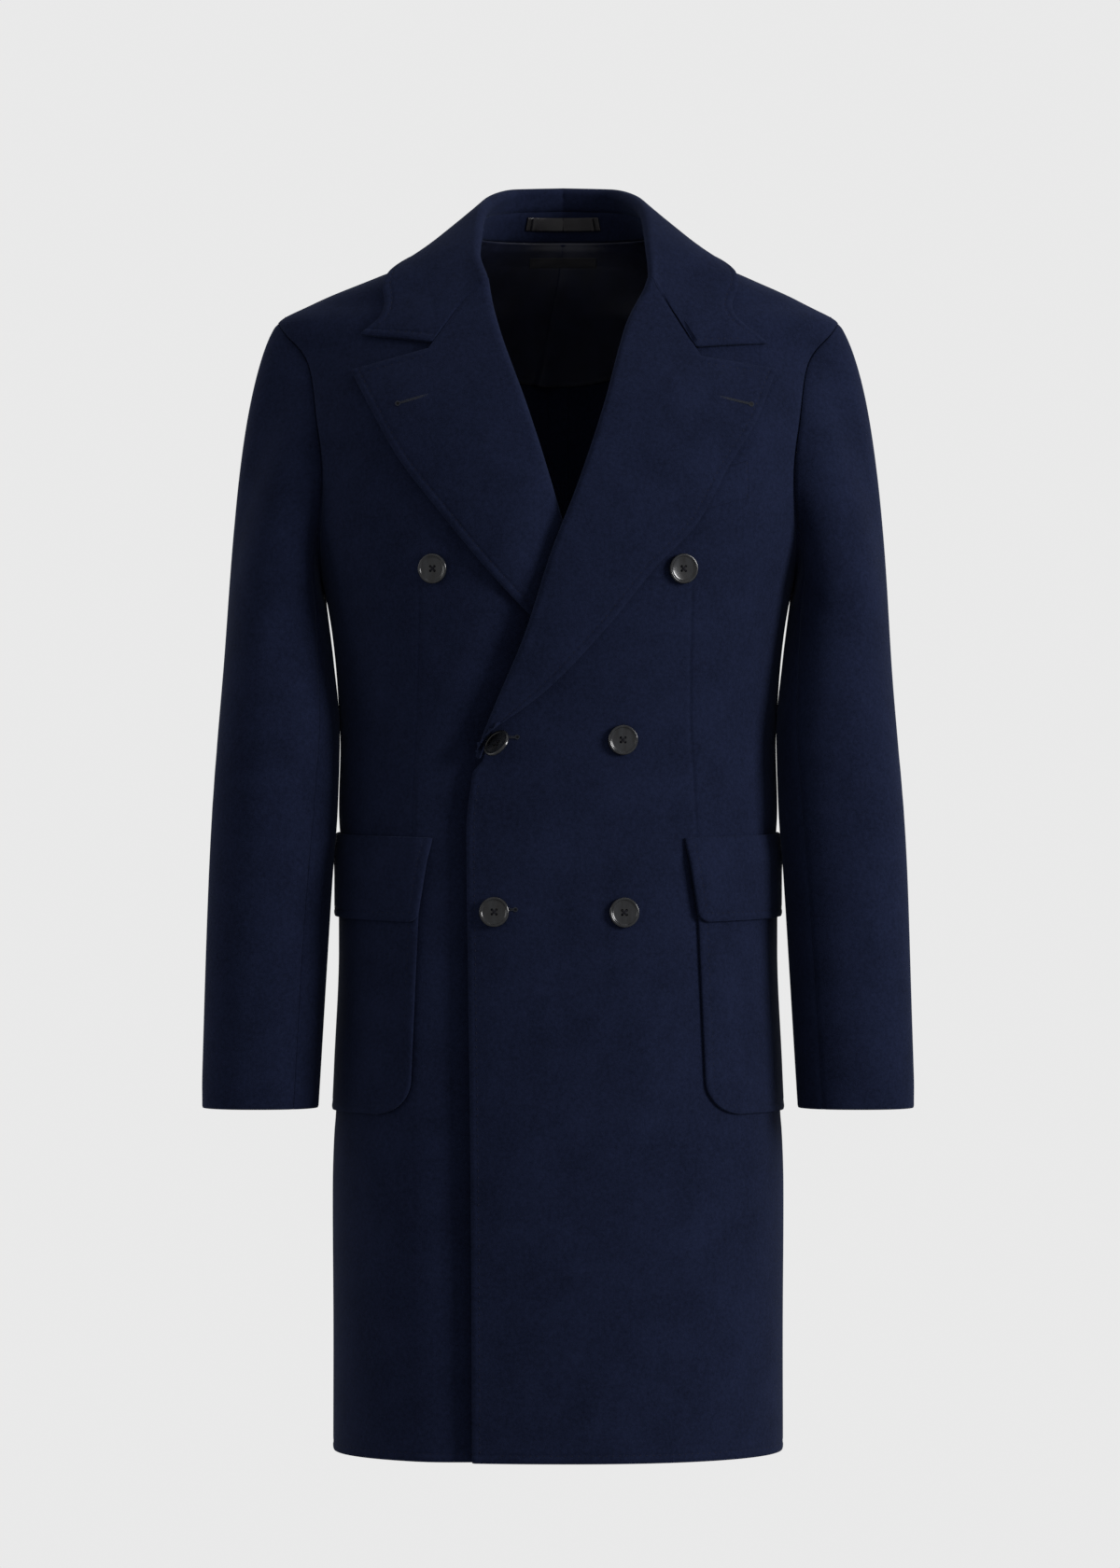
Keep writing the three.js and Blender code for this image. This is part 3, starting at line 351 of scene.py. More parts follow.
print("rings of points round a rim:", len(RIM_SHARES))

# %% [markdown]
# ## Wool, satin, resin and thread
# The wool is milled until its weave is hidden under a short nap. Seen close it is a field of tiny
# tangled fibres in slightly different navies, and it shines a little at grazing angles. Noise at
# three sizes gives the colour and the bump, and sheen gives the fuzz. The lining is a satin: dark
# and smooth, with fine ribs that catch the light. Buttons are polished resin, clouded like horn.

# %% A material with a noise-driven colour and bump
def node(tree, kind, inputs=None, **settings):
    made = tree.nodes.new(kind)
    for key, value in settings.items():
        setattr(made, key, value)
    for key, value in (inputs or {}).items():
        made.inputs[key].default_value = value
    return made


def link(tree, source, output, target, socket):
    tree.links.new(source.outputs[output], target.inputs[socket])


def noise(tree, place, scale, detail, roughness=0.6, stretch=(1, 1, 1)):
    spread = node(tree, "ShaderNodeMapping", {"Scale": stretch})
    link(tree, place, "Object", spread, "Vector")
    made = node(tree, "ShaderNodeTexNoise", {"Scale": scale, "Detail": detail, "Roughness": roughness})
    link(tree, spread, "Vector", made, "Vector")
    return made


def paint(tree, shader, source, output, stops):
    """Colour a shader by a ramp over another node's output."""
    ramp = node(tree, "ShaderNodeValToRGB")
    for element, (position, colour) in zip(ramp.color_ramp.elements, stops):
        element.position, element.color = position, (*colour, 1)
    link(tree, source, output, ramp, "Fac")
    link(tree, ramp, "Color", shader, "Base Color")


def shades(colour, low, high):
    """Ramp stops from a darker to a lighter shade of one colour."""
    return [(0.3, [c * low for c in colour]), (0.7, [c * high for c in colour])]


def blend(tree, factor, first, second):
    """Mix two outputs, each given as (node, output)."""
    made = node(tree, "ShaderNodeMix", {"Factor": factor}, data_type="FLOAT")
    link(tree, *first, made, 2)
    link(tree, *second, made, 3)
    return made


def bump(tree, source, output, strength, distance, before=None):
    made = node(tree, "ShaderNodeBump", {"Strength": strength, "Distance": distance})
    link(tree, source, output, made, "Height")
    if before:
        link(tree, before, "Normal", made, "Normal")
    return made


def new_material(name, **sockets):
    material = bpy.data.materials.new(name)
    material.use_nodes = True
    tree = material.node_tree
    shader = tree.nodes["Principled BSDF"]
    for key, value in sockets.items():
        shader.inputs[key.replace("_", " ")].default_value = value
    return material, tree, shader, node(tree, "ShaderNodeTexCoord")


print("two shades of a grey:", shades((0.5, 0.5, 0.5), 0.8, 1.2))

# %% Napped wool
def wool_material(name, dark, light):
    material, tree, shader, place = new_material(
        name, Roughness=0.95, Sheen_Weight=0.035, Sheen_Roughness=0.4, Sheen_Tint=(0.35, 0.45, 0.8, 1),
        Specular_IOR_Level=0.02,
    )
    fibres = noise(tree, place, 1500, 5, 0.72, (1, 1, 0.55))
    tufts = noise(tree, place, 330, 3)
    clouds = noise(tree, place, 26, 2)
    grain = blend(tree, 0.42, (fibres, "Fac"), (tufts, "Fac"))
    whole = blend(tree, 0.22, (grain, 0), (clouds, "Fac"))
    paint(tree, shader, whole, 0, [(0.36, dark), (0.66, light)])
    soft = bump(tree, tufts, "Fac", 0.35, 0.0006)
    fuzz = bump(tree, fibres, "Fac", 0.55, 0.0003, soft)
    link(tree, fuzz, "Normal", shader, "Normal")
    return material


WOOL = wool_material("navy_wool", (0.0022, 0.0031, 0.0080), (0.0056, 0.0078, 0.0202))
print("made", WOOL.name)

# %% Satin, ribbon, resin and thread
def satin_material(name, colour, roughness, rib):
    material, tree, shader, place = new_material(
        name, Roughness=roughness, Specular_IOR_Level=0.22, Anisotropic=0.35,
    )
    tone = noise(tree, place, 60, 3)
    paint(tree, shader, tone, "Fac", shades(colour, 0.75, 1.25))
    ribs = node(tree, "ShaderNodeTexWave", {"Scale": rib, "Distortion": 0.4, "Detail": 1.0})
    ribs.bands_direction = "DIAGONAL"
    link(tree, place, "Object", ribs, "Vector")
    creases = noise(tree, place, 45, 2, 0.5, (1, 1, 0.35))
    wrinkled = bump(tree, creases, "Fac", 0.3, 0.003)
    woven = bump(tree, ribs, "Fac", 0.18, 0.0002, wrinkled)
    link(tree, woven, "Normal", shader, "Normal")
    return material


def resin_material():
    material, tree, shader, place = new_material(
        "button_resin", Roughness=0.2, Specular_IOR_Level=0.3,
    )
    swirl = noise(tree, place, 150, 4, 0.6, (1, 1, 0.35))
    paint(tree, shader, swirl, "Fac", [(0.35, (0.0015, 0.0015, 0.002)), (0.7, (0.008, 0.009, 0.011))])
    scratches = noise(tree, place, 900, 2)
    worn = bump(tree, scratches, "Fac", 0.08, 0.0002)
    link(tree, worn, "Normal", shader, "Normal")
    return material


def thread_material(name, colour):
    material, tree, shader, place = new_material(name, Roughness=0.7, Specular_IOR_Level=0.08)
    twist = noise(tree, place, 2600, 2)
    paint(tree, shader, twist, "Fac", shades(colour, 0.6, 1.3))
    lay = bump(tree, twist, "Fac", 0.4, 0.0002)
    link(tree, lay, "Normal", shader, "Normal")
    return material


LINING = satin_material("lining_satin", (0.0045, 0.0055, 0.0125), 0.4, 900)
RIBBON = satin_material("loop_ribbon", (0.003, 0.0025, 0.004), 0.25, 1400)
LABEL = satin_material("label_tape", (0.006, 0.006, 0.008), 0.6, 1600)
RESIN = resin_material()
STITCH = thread_material("edge_thread", (0.0035, 0.0042, 0.0105))
SILK = thread_material("buttonhole_silk", (0.012, 0.014, 0.020))
TIE = thread_material("button_thread", (0.003, 0.003, 0.005))
# The last colour is painted shade: near black, for the shade inside each cut buttonhole.
SLIT_SHADE = thread_material("slit_painted_shade", (0.0008, 0.0009, 0.0015))
print("finishes:", [m.name for m in (LINING, RIBBON, LABEL, RESIN, STITCH, SILK, TIE, SLIT_SHADE)])

# %% [markdown]
# ## Dress a grid as cloth
# One function dresses every wool piece: it mirrors the right-hand pieces, adds the edge profiles
# and the waves, and gives the wall its thickness. A piece that stands for a solid is then fixed to
# the coat, and that solid is hidden.

# %% Dress and place one piece
def waves(points, amount):
    """Broad uneven undulation, in mm."""
    x, y, z = points[..., 0], points[..., 1], points[..., 2]
    slow = np.sin(x / 37 + 0.4 * np.sin(z / 61)) * np.sin(z / 83 + x / 130 + 1.3)
    broad = np.sin(z / 47 + y / 58 + 0.6 * np.sin(x / 45)) * np.sin(y / 49 - 0.7)
    return amount * (0.6 * slow + 0.4 * broad)


def ride_coat(piece):
    """A piece without a solid of its own moves with the coat."""
    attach(piece, "root")


def place_sheet(piece, name):
    """A piece that stands for one solid: fixed to the coat, with that solid hidden."""
    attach(piece, "root")
    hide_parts(name)


def dressed(side, points, outward, thickness, relief=0.0, inner_relief=None):
    """Outer and inner grids of a wall, mirrored for a right-hand piece."""
    points = points * FLIP[side]
    normals = grid_normals(points, outward * FLIP[side])
    inner_relief = relief if inner_relief is None else inner_relief
    outer = points + normals * np.asarray(relief)[..., None]
    inner = points - normals * (thickness - np.asarray(inner_relief))[..., None]
    return outer, inner


def wool_piece(name, bulge, *form):
    """A closed shell of wool, from what `dressed` takes."""
    return shell(name, *dressed(*form), WOOL, bulge)


stitch_lines = []


def pick_edge(points, normals, edge, part):
    """Keep the line just inside a part of one edge of a grid, for stitches to follow."""
    distance = edge_distances(points)[edge]
    if edge in ("low", "top"):
        points, normals, distance = (a.swapaxes(0, 1) for a in (points, normals, distance))
    found, facing = [], []
    for row, facings, run in zip(points, normals, distance):
        order = np.argsort(run)
        found.append([np.interp(STITCH_INSET, run[order], row[order, k]) for k in range(3)])
        facing.append([np.interp(STITCH_INSET, run[order], facings[order, k]) for k in range(3)])
    ends = slice(round(part[0] * len(found)), round(part[1] * len(found)))
    stitch_lines.append((np.array(found)[ends], unit(np.array(facing)[ends])))


def thicken(values, centre, spacing, count):
    """Add grid lines close together round a value."""
    near = centre + spacing * np.arange(-count, count + 1)
    low, high = min(values), max(values)
    merged = np.unique(np.round(np.concatenate([values, near[(near > low) & (near < high)]]), 6))
    keep = np.concatenate([[True], np.diff(merged) > spacing * 0.4])
    keep[-1] = True
    return merged[keep]


def close_ends(values, spacing, count):
    for end in (values[0], values[-1]):
        values = thicken(values, end, spacing, count)
    return values


print("waves on a flat panel, mm:", np.round(waves(vector(0.0, 0.0, np.arange(0, 300, 100)), 1.5), 2))

# %% [markdown]
# ## Fronts and backs
# Each front runs from its edge round to the side seam, with a dart down the chest. The grid has a
# column on the dart and close columns beside it, so the dart can be a fine valley. The
# front edge below the lapel is a stitched edge, and the sides and shoulders are seams.

# %% Rows and side boundaries that fronts, backs and sleeves share
SEAM_GAP = 0.3
ARMHOLE_FRONT_SWING, ARMHOLE_LOW_SWING, ARMHOLE_BACK_SWING = np.radians([21, 6.5, 18])


def row_height(v):
    arm = mix(UNDERARM, SHOULDER_POINT, (1 - np.cos((v - 1) * np.pi)) / 2)
    return np.where(v <= 1, UNDERARM * v, np.where(v <= 2, arm, mix(SHOULDER_POINT, NECKLINE, v - 2)))


def armhole_angle(swing, turn):
    return mix(SIDE_SEAM, SHOULDER_SEAM, turn / np.pi) + swing * np.sin(turn)


def front_swing(turn):
    return -(ARMHOLE_FRONT_SWING + ARMHOLE_LOW_SWING * np.cos(turn))


def row_side_angle(v, is_front):
    gap = (-1 if is_front else 1) * SEAM_GAP / 2 / torso_radius(SIDE_SEAM, row_height(v))
    turn = (v - 1) * np.pi
    swing = front_swing(turn) if is_front else ARMHOLE_BACK_SWING
    middle = armhole_angle(swing, turn)
    return np.where(v <= 1, SIDE_SEAM, np.where(v >= 2, SHOULDER_SEAM, middle)) + gap


def fold_radius(along):
    return mix(4.3, 5.6, smooth(0, 0.3, along))


def panel_edge(side, height):
    along = (height - LAPEL_START) / (GORGE_TOP - LAPEL_START)
    turned = smooth(LAPEL_START - 12, LAPEL_START - 3, height) * (1 - 0.65 * smooth(1000, NECKLINE, height))
    behind_fold = fold_radius(along) * 1.12 + 0.9 + 3.2 * smooth(935, 972, height)
    return FRONT_EDGE[side](height) + turned * behind_fold


BODY_ROWS = joined(
    np.linspace(0, 0.76, 70), np.linspace(0.76, 1, 42), np.linspace(1, 2, 70), np.linspace(2, 3, 40),
    [0.0006, 0.002, 0.004, 0.006, 0.0075, 0.009, 0.0105, 0.0125, 0.016],
)
print("rows up the body:", len(BODY_ROWS))

# %% The two fronts
DART = {
    "left": curve([(500, 115), (567, 111.5), (617, 108.8), (721, 110.5), (800, 113)]),
    "right": curve([(500, 120.5), (553, 119), (617, 115.7), (727, 113.6), (800, 114)]),
}


def front_grid(side, us, vs):
    u, v = np.meshgrid(us, vs)
    height = row_height(v)
    start = front_angle(panel_edge(side, height), height)
    end = row_side_angle(v, True)
    dart = front_angle(DART[side](height), height)
    middle = mix(dart, (start + end) / 2, smooth(770, 880, height))
    angle = np.where(u < 0.5, mix(start, middle, 2 * u), mix(middle, end, 2 * u - 1))
    across = torso_skin(angle, height)[..., 0]
    lift = np.where(angle < SHOULDER_SEAM, front_lift(side, across, height), 0)
    return torso_point(angle, height, lift), torso_normal(angle, height), height, across


def make_front(side):
    us = thicken(thicken(np.linspace(0, 1, 46), 0.0, 0.0028, 5), 0.5, 0.0022, 5)
    us = thicken(us, 1.0, 0.003, 4)
    points, outward, height, across = front_grid(side, us, BODY_ROWS)
    distance = edge_distances(points)
    free = 1 - smooth(566, 580, height)
    relief = free * stitched(distance["left"]) + stitched(distance["low"])
    relief += seamed(distance["right"]) + seamed(distance["top"])
    dart_run = np.abs(across - DART[side](height))
    dart_fold = 0.85 * hump(dart_run, 0, 1.7) - 0.2 * hump(dart_run, 0, 7)
    relief -= between(505, 512, 700, 735, height) * dart_fold
    calm = 1 - 0.75 * smooth(560, 600, height) * (1 - smooth(120, 150, across))
    under_pocket = smooth(90, 112, across) * between(265, 285, 505, 525, height)
    relief += waves(points, 1.3) * calm * (1 - under_pocket) * smooth(0, 22, distance["left"])
    outer, inner = dressed(side, points, outward, CLOTH, relief)
    piece = shell(f"cloth_front_{side}", outer, inner, WOOL, 0.5)
    normals = grid_normals(outer, outward * FLIP[side])
    if side == "left":
        low = np.searchsorted(BODY_ROWS, [0.012, 0.775]) / len(BODY_ROWS)
        pick_edge(outer, normals, "left", low)
    pick_edge(outer, normals, "low", (0.12, 0.97))
    return piece


fronts = {side: make_front(side) for side in SIGN}
for side, piece in fronts.items():
    place_sheet(piece, f"front_{side}")
print("fronts:", [len(piece.data.polygons) for piece in fronts.values()], "faces")

# %% The two backs
def make_back(side):
    u, v = np.meshgrid(close_ends(np.linspace(0, 1, 40), 0.004, 4), BODY_ROWS)
    height = row_height(v)
    start = CENTRE_BACK - SEAM_GAP / 2 / back_depth(height)
    angle = mix(start, row_side_angle(v, False), u)
    points, outward = torso_point(angle, height), torso_normal(angle, height)
    distance = edge_distances(points)
    relief = seamed(distance["left"]) + seamed(distance["right"]) + seamed(distance["top"])
    relief += stitched(distance["low"])
    open_neck = smooth(0, 40, distance["left"]) * smooth(0, 25, distance["right"])
    relief += waves(points, 1.6) * open_neck * (1 - smooth(900, 960, height))
    return wool_piece(f"cloth_back_{side}", SEAM_BULGE, side, points, outward, CLOTH, relief)


backs = {side: make_back(side) for side in SIGN}
for side, piece in backs.items():
    place_sheet(piece, f"back_{side}")
print("backs:", [len(piece.data.polygons) for piece in backs.values()], "faces")

# %% [markdown]
# ## Sleeves
# A coat sleeve has two pieces. The cap leaves the armhole, rounds over the shoulder and becomes a
# tube that bends forward as a hanging arm does. Soft drag lines run from the front of the armhole,
# and a few shallow creases cross the inside of the elbow.

# %% The sleeve's surface
BICEPS, CUFF = 700.0, 288.0
SLEEVE = [  # height, outer edge, inner edge, half depth, middle
    (700, 278, 193.5, 76, -4), (660, 280.5, 188.2, 70, -16), (600, 284.5, 182.5, 64, -31),
    (540, 288.5, 184, 60, -36), (480, 291.5, 188.3, 57, -38), (400, 294.5, 193.2, 53, -41),
    (340, 296, 196.8, 50.5, -43), (288, 297, 200, 48.5, -45),
]
sleeve_outer, sleeve_inner, sleeve_depth, sleeve_middle = curves(SLEEVE)
SLEEVE_POWER, FRONT_SEAM_RING, BACK_SEAM_RING = 2.2, 0.3, 1.7


def armhole_place(ring):
    """Angle and height on the armhole: 0 is the underarm, 1 the shoulder point, 2 the underarm again."""
    turn = np.where(ring <= 1, ring, 2 - ring) * np.pi
    swing = np.where(ring <= 1, front_swing(turn), ARMHOLE_BACK_SWING)
    return armhole_angle(swing, turn), mix(UNDERARM, SHOULDER_POINT, (1 - np.cos(turn)) / 2)


def into_armhole(ring):
    """Directions along the cloth from the armhole's edge towards its middle."""
    angle, height = armhole_place(ring)
    edge, normal = torso_skin(angle, height), torso_normal(angle, height)
    centre = torso_skin(np.radians(93), (UNDERARM + SHOULDER_POINT) / 2)
    after = torso_skin(*armhole_place(np.minimum(2, ring + 0.01)))
    tangent = after - torso_skin(*armhole_place(np.maximum(0, ring - 0.01)))
    way = unit(np.cross(normal, tangent))
    return turned_to(way, centre - edge)


def sleeve_tube(ring, height):
    """A point of the hanging sleeve below the biceps."""
    turn = np.pi * (1 - ring)
    half = (sleeve_outer(height) - sleeve_inner(height)) / 2
    sideways, forward = np.abs(np.cos(turn)) / half, np.abs(np.sin(turn)) / sleeve_depth(height)
    radius = (sideways**SLEEVE_POWER + forward**SLEEVE_POWER) ** (-1 / SLEEVE_POWER)
    middle = sleeve_inner(height) + half
    return vector(middle + radius * np.cos(turn), sleeve_middle(height) - radius * np.sin(turn), height)


def sleeve_point(ring, row):
    """Rows 0 to 1 are the cap, from the armhole to the biceps, and 1 to 2 the tube to the cuff."""
    ring = np.mod(ring, 2)
    angle, height = armhole_place(ring)
    underarm = (1 + np.cos(np.pi * ring)) / 2
    start = torso_skin(angle, height) + SEAM_GAP * into_armhole(ring)
    start = start + torso_normal(angle, height) * (0.9 * underarm**2)[..., None]
    end = sleeve_tube(ring, BICEPS)
    length = np.linalg.norm(end - start, axis=-1, keepdims=True)
    turn = np.pi * (1 - ring)
    leave = vector(0.345 - 0.02 * np.cos(turn), -0.16 * np.sin(turn), -0.42) * length
    arrive = vector(0.09 * np.cos(turn) - 0.03, 0.17 * np.sin(turn) - 0.2, -0.9) * length
    t = np.clip(row, 0, 1)[..., None]
    rest = 1 - t
    cap = start * rest * rest * (1 + 2 * t) + end * t * t * (3 - 2 * t)
    cap = cap + leave * t * rest * rest - arrive * t * t * rest
    return np.where((row >= 1)[..., None], sleeve_tube(ring, mix(BICEPS, CUFF, row - 1)), cap)


def from_sleeve_middle(points):
    """Vectors from the sleeve's middle line to its points, level by level."""
    level = points[..., 2]
    across = (sleeve_outer(level) + sleeve_inner(level)) / 2
    return points - vector(across, sleeve_middle(level), level)


print("cuff girth, mm:", ellipse_girth(48.5, 48.5))

# %% Top sleeve and under sleeve
SLEEVE_ROWS = joined(
    [0, 0.01, 0.025, 0.045], np.linspace(0.07, 1, 50), np.linspace(1, 2, 78),
    [1.972, 1.98, 1.984, 1.988, 1.992, 1.996],
)
RING_GAP = 0.0012
SLEEVE_CREASES = [  # height, depth, width, tilt
    (548, 1.9, 9, 0.20), (574, 1.3, 8, 0.32), (521, 1.1, 10, 0.10), (500, 0.6, 9, 0.0),
]


def sleeve_creases(points, ring):
    z, y = points[..., 2], points[..., 1]
    elbow = np.zeros(z.shape)
    for height, depth, width, tilt in SLEEVE_CREASES:
        elbow -= depth * hump(z - height, tilt * (y + 60), width)
        elbow += 0.55 * depth * hump(z - height - 17, tilt * (y + 60), width * 1.1)
    drag = -1.1 * hump(z - 742, 1.1 * (y + 40), 11) * smooth(600, 700, z)
    return hump(ring, 0.45, 0.28) * (elbow + drag)


def make_sleeve(side, kind, start, end, columns):
    rings = close_ends(np.linspace(start + RING_GAP, end - RING_GAP, columns), 0.006, 4)
    ring, row = np.meshgrid(rings, SLEEVE_ROWS)
    points = sleeve_point(ring, row)
    distance = edge_distances(points)
    relief = seamed(distance["left"]) + seamed(distance["right"]) + 0.8 * seamed(distance["low"])
    relief -= 0.45 * (1 - smooth(0, 1.8, distance["top"]))
    ring = np.mod(ring, 2)
    facing_body = hump(np.minimum(ring, 2 - ring), 0, 0.28)
    still = (1 - 0.95 * facing_body) * between(0.05, 0.4, 1.94, 2, row)
    broad = waves(points + np.array([31.0 * SIGN[side], 17, 5]), 1.5)
    relief += still * (broad + sleeve_creases(points, ring))
    outward = from_sleeve_middle(points)
    return wool_piece(f"cloth_{kind}_{side}", SEAM_BULGE, side, points, outward, CLOTH, relief)


sleeves = {}
for side in SIGN:
    sleeves[side] = (
        make_sleeve(side, "top_sleeve", FRONT_SEAM_RING, BACK_SEAM_RING, 84),
        make_sleeve(side, "under_sleeve", BACK_SEAM_RING, 2 + FRONT_SEAM_RING, 34),
    )
    place_sheet(sleeves[side][0], f"top_sleeve_{side}")
    place_sheet(sleeves[side][1], f"under_sleeve_{side}")
print("sleeve faces:", sum(len(piece.data.polygons) for pair in sleeves.values() for piece in pair))

# %% [markdown]
# ## Seam allowances
# Inside a coat every seam has a strip of spare cloth behind it. Where panels meet it is pressed open,
# and at the armhole it is turned into the sleeve. The strips also keep light from showing
# through the hairline between two pieces.

# %% Strips behind the body seams and round the armholes
ALLOWANCE, STRIP_CLOTH = 9.0, 0.9
INSIDE_SLEEVE = vector(225.0, 0.0, 810.0)


def add_strip(name, side, points, outward, relief=0.0):
    strip = wool_piece(f"allowance_{name}", 0.1, side, points, outward, STRIP_CLOTH, relief)
    ride_coat(strip)


def strip_behind(name, side, seam, low, high, count):
    """A strip on the inside of the torso, along a seam at this angle, between two heights."""
    heights = np.linspace(low, high, count)
    u, height = np.meshgrid(np.linspace(-1, 1, 9), heights)
    angle = seam + u * ALLOWANCE / torso_radius(np.full(count, seam), heights)[:, None]
    points, outward = torso_point(angle, height, -(CLOTH + 0.35)), torso_normal(angle, height)
    add_strip(name, side, points, outward, waves(points, 0.1))


def evened(directions, reach=6):
    """Directions along a closed line, each averaged with its neighbours."""
    shifted = [np.roll(directions, k, axis=0) for k in range(-reach, reach + 1)]
    return unit(np.mean(shifted, axis=0))


def armhole_strip(side):
    """Four rows: under the panel, across the seam, and two inside the sleeve head."""
    ring = np.linspace(0, 2, 181)
    edge = torso_skin(*armhole_place(ring))
    normal, into = evened(torso_normal(*armhole_place(ring))), evened(into_armhole(ring))
    row = np.full(ring.shape, 0.035)
    head, below = sleeve_point(ring, row), sleeve_point(ring, row + 0.025)
    around = sleeve_point(ring + 0.01, row) - sleeve_point(ring - 0.01, row)
    inside = turned_to(unit(np.cross(around, below - head)), INSIDE_SLEEVE - head)
    deeper = sleeve_point(ring, row + 0.075)
    under = edge - 8 * into - 2.45 * normal
    points = np.stack([under, edge - 2.9 * normal, head + inside * 2.9, deeper + inside * 3.2])
    add_strip(f"armhole_{side}", side, points, np.stack([normal] * 4))


def sleeve_strip(name, side, seam):
    """A strip inside a sleeve, along one of its two long seams."""
    u, row = np.meshgrid(np.linspace(-1, 1, 7), np.linspace(0.12, 1.96, 150))
    points = sleeve_point(seam + 0.034 * u, row)
    inward = np.full(row.shape, -(CLOTH + 0.9))
    add_strip(f"sleeve_{name}_{side}", side, points, from_sleeve_middle(points), inward)


for side in SIGN:
    strip_behind(f"side_{side}", side, SIDE_SEAM, 4, UNDERARM - 4, 120)
    strip_behind(f"shoulder_{side}", side, SHOULDER_SEAM, SHOULDER_POINT + 2, 1012, 40)
    armhole_strip(side)
    sleeve_strip("front", side, FRONT_SEAM_RING)
    sleeve_strip("back", side, BACK_SEAM_RING)
strip_behind("centre_back", "left", CENTRE_BACK, 4, 1010, 160)

# %% [markdown]
# ## Lapels
# A lapel is the front turned back on itself along its roll line. It is soft there, thicker than
# one layer, bellies a little over the chest, and lies flat again at its peak. Its grid runs round
# the turned cloth first and then out to the free edge, which is picked by hand.

# %% The lapels' surface
LAPEL_EDGE = {
    "left": [(-59.5, 598), (-50, 604.5), (-9.2, 635.8), (37.5, 684.8), (78.9, 736.2), (112.6, 772.3),
             (139.8, 821.7), (162.2, 859), (179.4, 901.2)],
    "right": [(-56, 597), (-44, 616), (-5.5, 667), (31.4, 705.5), (62.8, 740.8), (92.8, 777.8),
              (126.8, 822), (159.8, 880.3), (169.8, 900)],
}
NOTCH = {  # corner of the lapel, corner of the collar, tip of the collar
    "left": ((115, 911), (111.5, 918), (170, 924)),
    "right": ((104, 917.5), (101, 922), (160, 931)),
}
NOTCH_SHARE = 0.52


def path(places):
    """A curve through places, as a function of the share of its length."""
    steps = np.hypot(*np.diff(np.array(places, float), axis=0).T)
    run = np.concatenate([[0], np.cumsum(steps)]) / steps.sum()
    across, height = curves([(share, *place) for share, place in zip(run, places)])
    return lambda t: (across(t), height(t))


lapel_edge = {side: path(LAPEL_EDGE[side]) for side in SIGN}


def lapel_place(side, column, along):
    """Where a point of the lapel lies on the front, and how high it stands over it."""
    height = mix(LAPEL_START, GORGE_TOP, along)
    roll_across, roll_height = FRONT_EDGE[side](height), height
    edge_across, edge_height = lapel_edge[side](along)
    width = np.hypot(edge_across - roll_across, edge_height - roll_height)
    radius = fold_radius(along)
    middle = radius - CLOTH - 0.2
    turn = (np.minimum(column, 0) + 1) * np.pi
    turned_share = radius * (1 - np.sin(turn)) / width
    flat_share = mix(radius / width, 1, np.maximum(column, 0))
    share = np.where(column <= 0, turned_share, flat_share)
    out_column = np.maximum(column, 0)
    before, after = out_column / NOTCH_SHARE, (1 - out_column) / (1 - NOTCH_SHARE)
    corner = np.where(out_column < NOTCH_SHARE, before, after)
    bend = np.where(column <= 0, 0, corner) * smooth(0.5, 1, along) ** 2
    top_edge = LAPEL_EDGE[side][-1]
    top_roll = (float(FRONT_EDGE[side](GORGE_TOP)), GORGE_TOP)
    notch = NOTCH[side][0]
    straight = [mix(top_roll[k], top_edge[k], NOTCH_SHARE) for k in (0, 1)]
    across = mix(roll_across, edge_across, share) + bend * (notch[0] - straight[0])
    up = mix(roll_height, edge_height, share) + bend * (notch[1] - straight[1])
    top = middle + radius
    edge_lift = mix(mix(top, 6.9, smooth(0, 0.25, along)), 5.0, smooth(0.8, 1, along))
    belly = 2.2 * smooth(0, 0.5, along) * (1 - smooth(0.7, 1, along))
    flat_lift = mix(top, edge_lift, out_column**0.8) + belly * np.sin(np.pi * out_column)
    return across, up, np.where(column <= 0, middle - radius * np.cos(turn), flat_lift)


def lapel_point(side, column, along):
    across, up, lift = lapel_place(side, column, along)
    return on_front(side, across, up, lift)


print("peak of the left lapel, mm:", np.round(lapel_point("left", np.array(1.0), np.array(1.0)), 1))

# %% Make the lapels
def make_lapel(side):
    columns = joined(
        np.linspace(-1, 0, 15), np.linspace(0, 0.86, 50), np.linspace(0.86, 1, 22), [0.9965, NOTCH_SHARE],
    )
    alongs = joined(np.linspace(0, 0.95, 105), np.linspace(0.95, 1, 20), [0.998, 0.9992])
    column, along = np.meshgrid(columns, alongs)
    points = lapel_point(side, column, along)
    below = on_front(side, *lapel_place(side, column, along)[:2])
    outward = np.where((column > 0)[..., None], points - below, 0)
    distance = edge_distances(points)
    free_top = smooth(NOTCH_SHARE - 0.05, NOTCH_SHARE + 0.02, column)
    relief = np.where(column > 0, stitched(distance["right"]), 0)
    top_relief = mix(0.7 * seamed(distance["top"]), stitched(distance["top"]), free_top)
    relief += np.where(column > 0, top_relief, 0)
    inner_relief = np.minimum(relief, 0) * 0.3
    outer, inner = dressed(side, points, outward, TURNED_CLOTH, relief, inner_relief)
    piece = shell(f"cloth_lapel_{side}", outer, inner, WOOL, 0.7)
    normals = grid_normals(outer, outward * FLIP[side])
    pick_edge(outer, normals, "right", (0.02, 0.955))
    start = np.searchsorted(columns, NOTCH_SHARE + 0.05) / len(columns)
    pick_edge(outer, normals, "top", (start, 0.80))
    return piece


lapels = {side: make_lapel(side) for side in SIGN}
place_sheet(lapels["left"], "lapel_left")
place_sheet(lapels["right"], "lapel_right")
print("lapels:", [len(piece.data.polygons) for piece in lapels.values()], "faces")

# %% [markdown]
# ## Collar and stand
# The collar stands up behind the neck, folds over and falls onto the shoulders. Its fold is highest
# at the centre back and sinks to meet the roll lines of the lapels. In front it is sewn
# to each lapel along the gorge, up to the notch, and from there its edge is free.

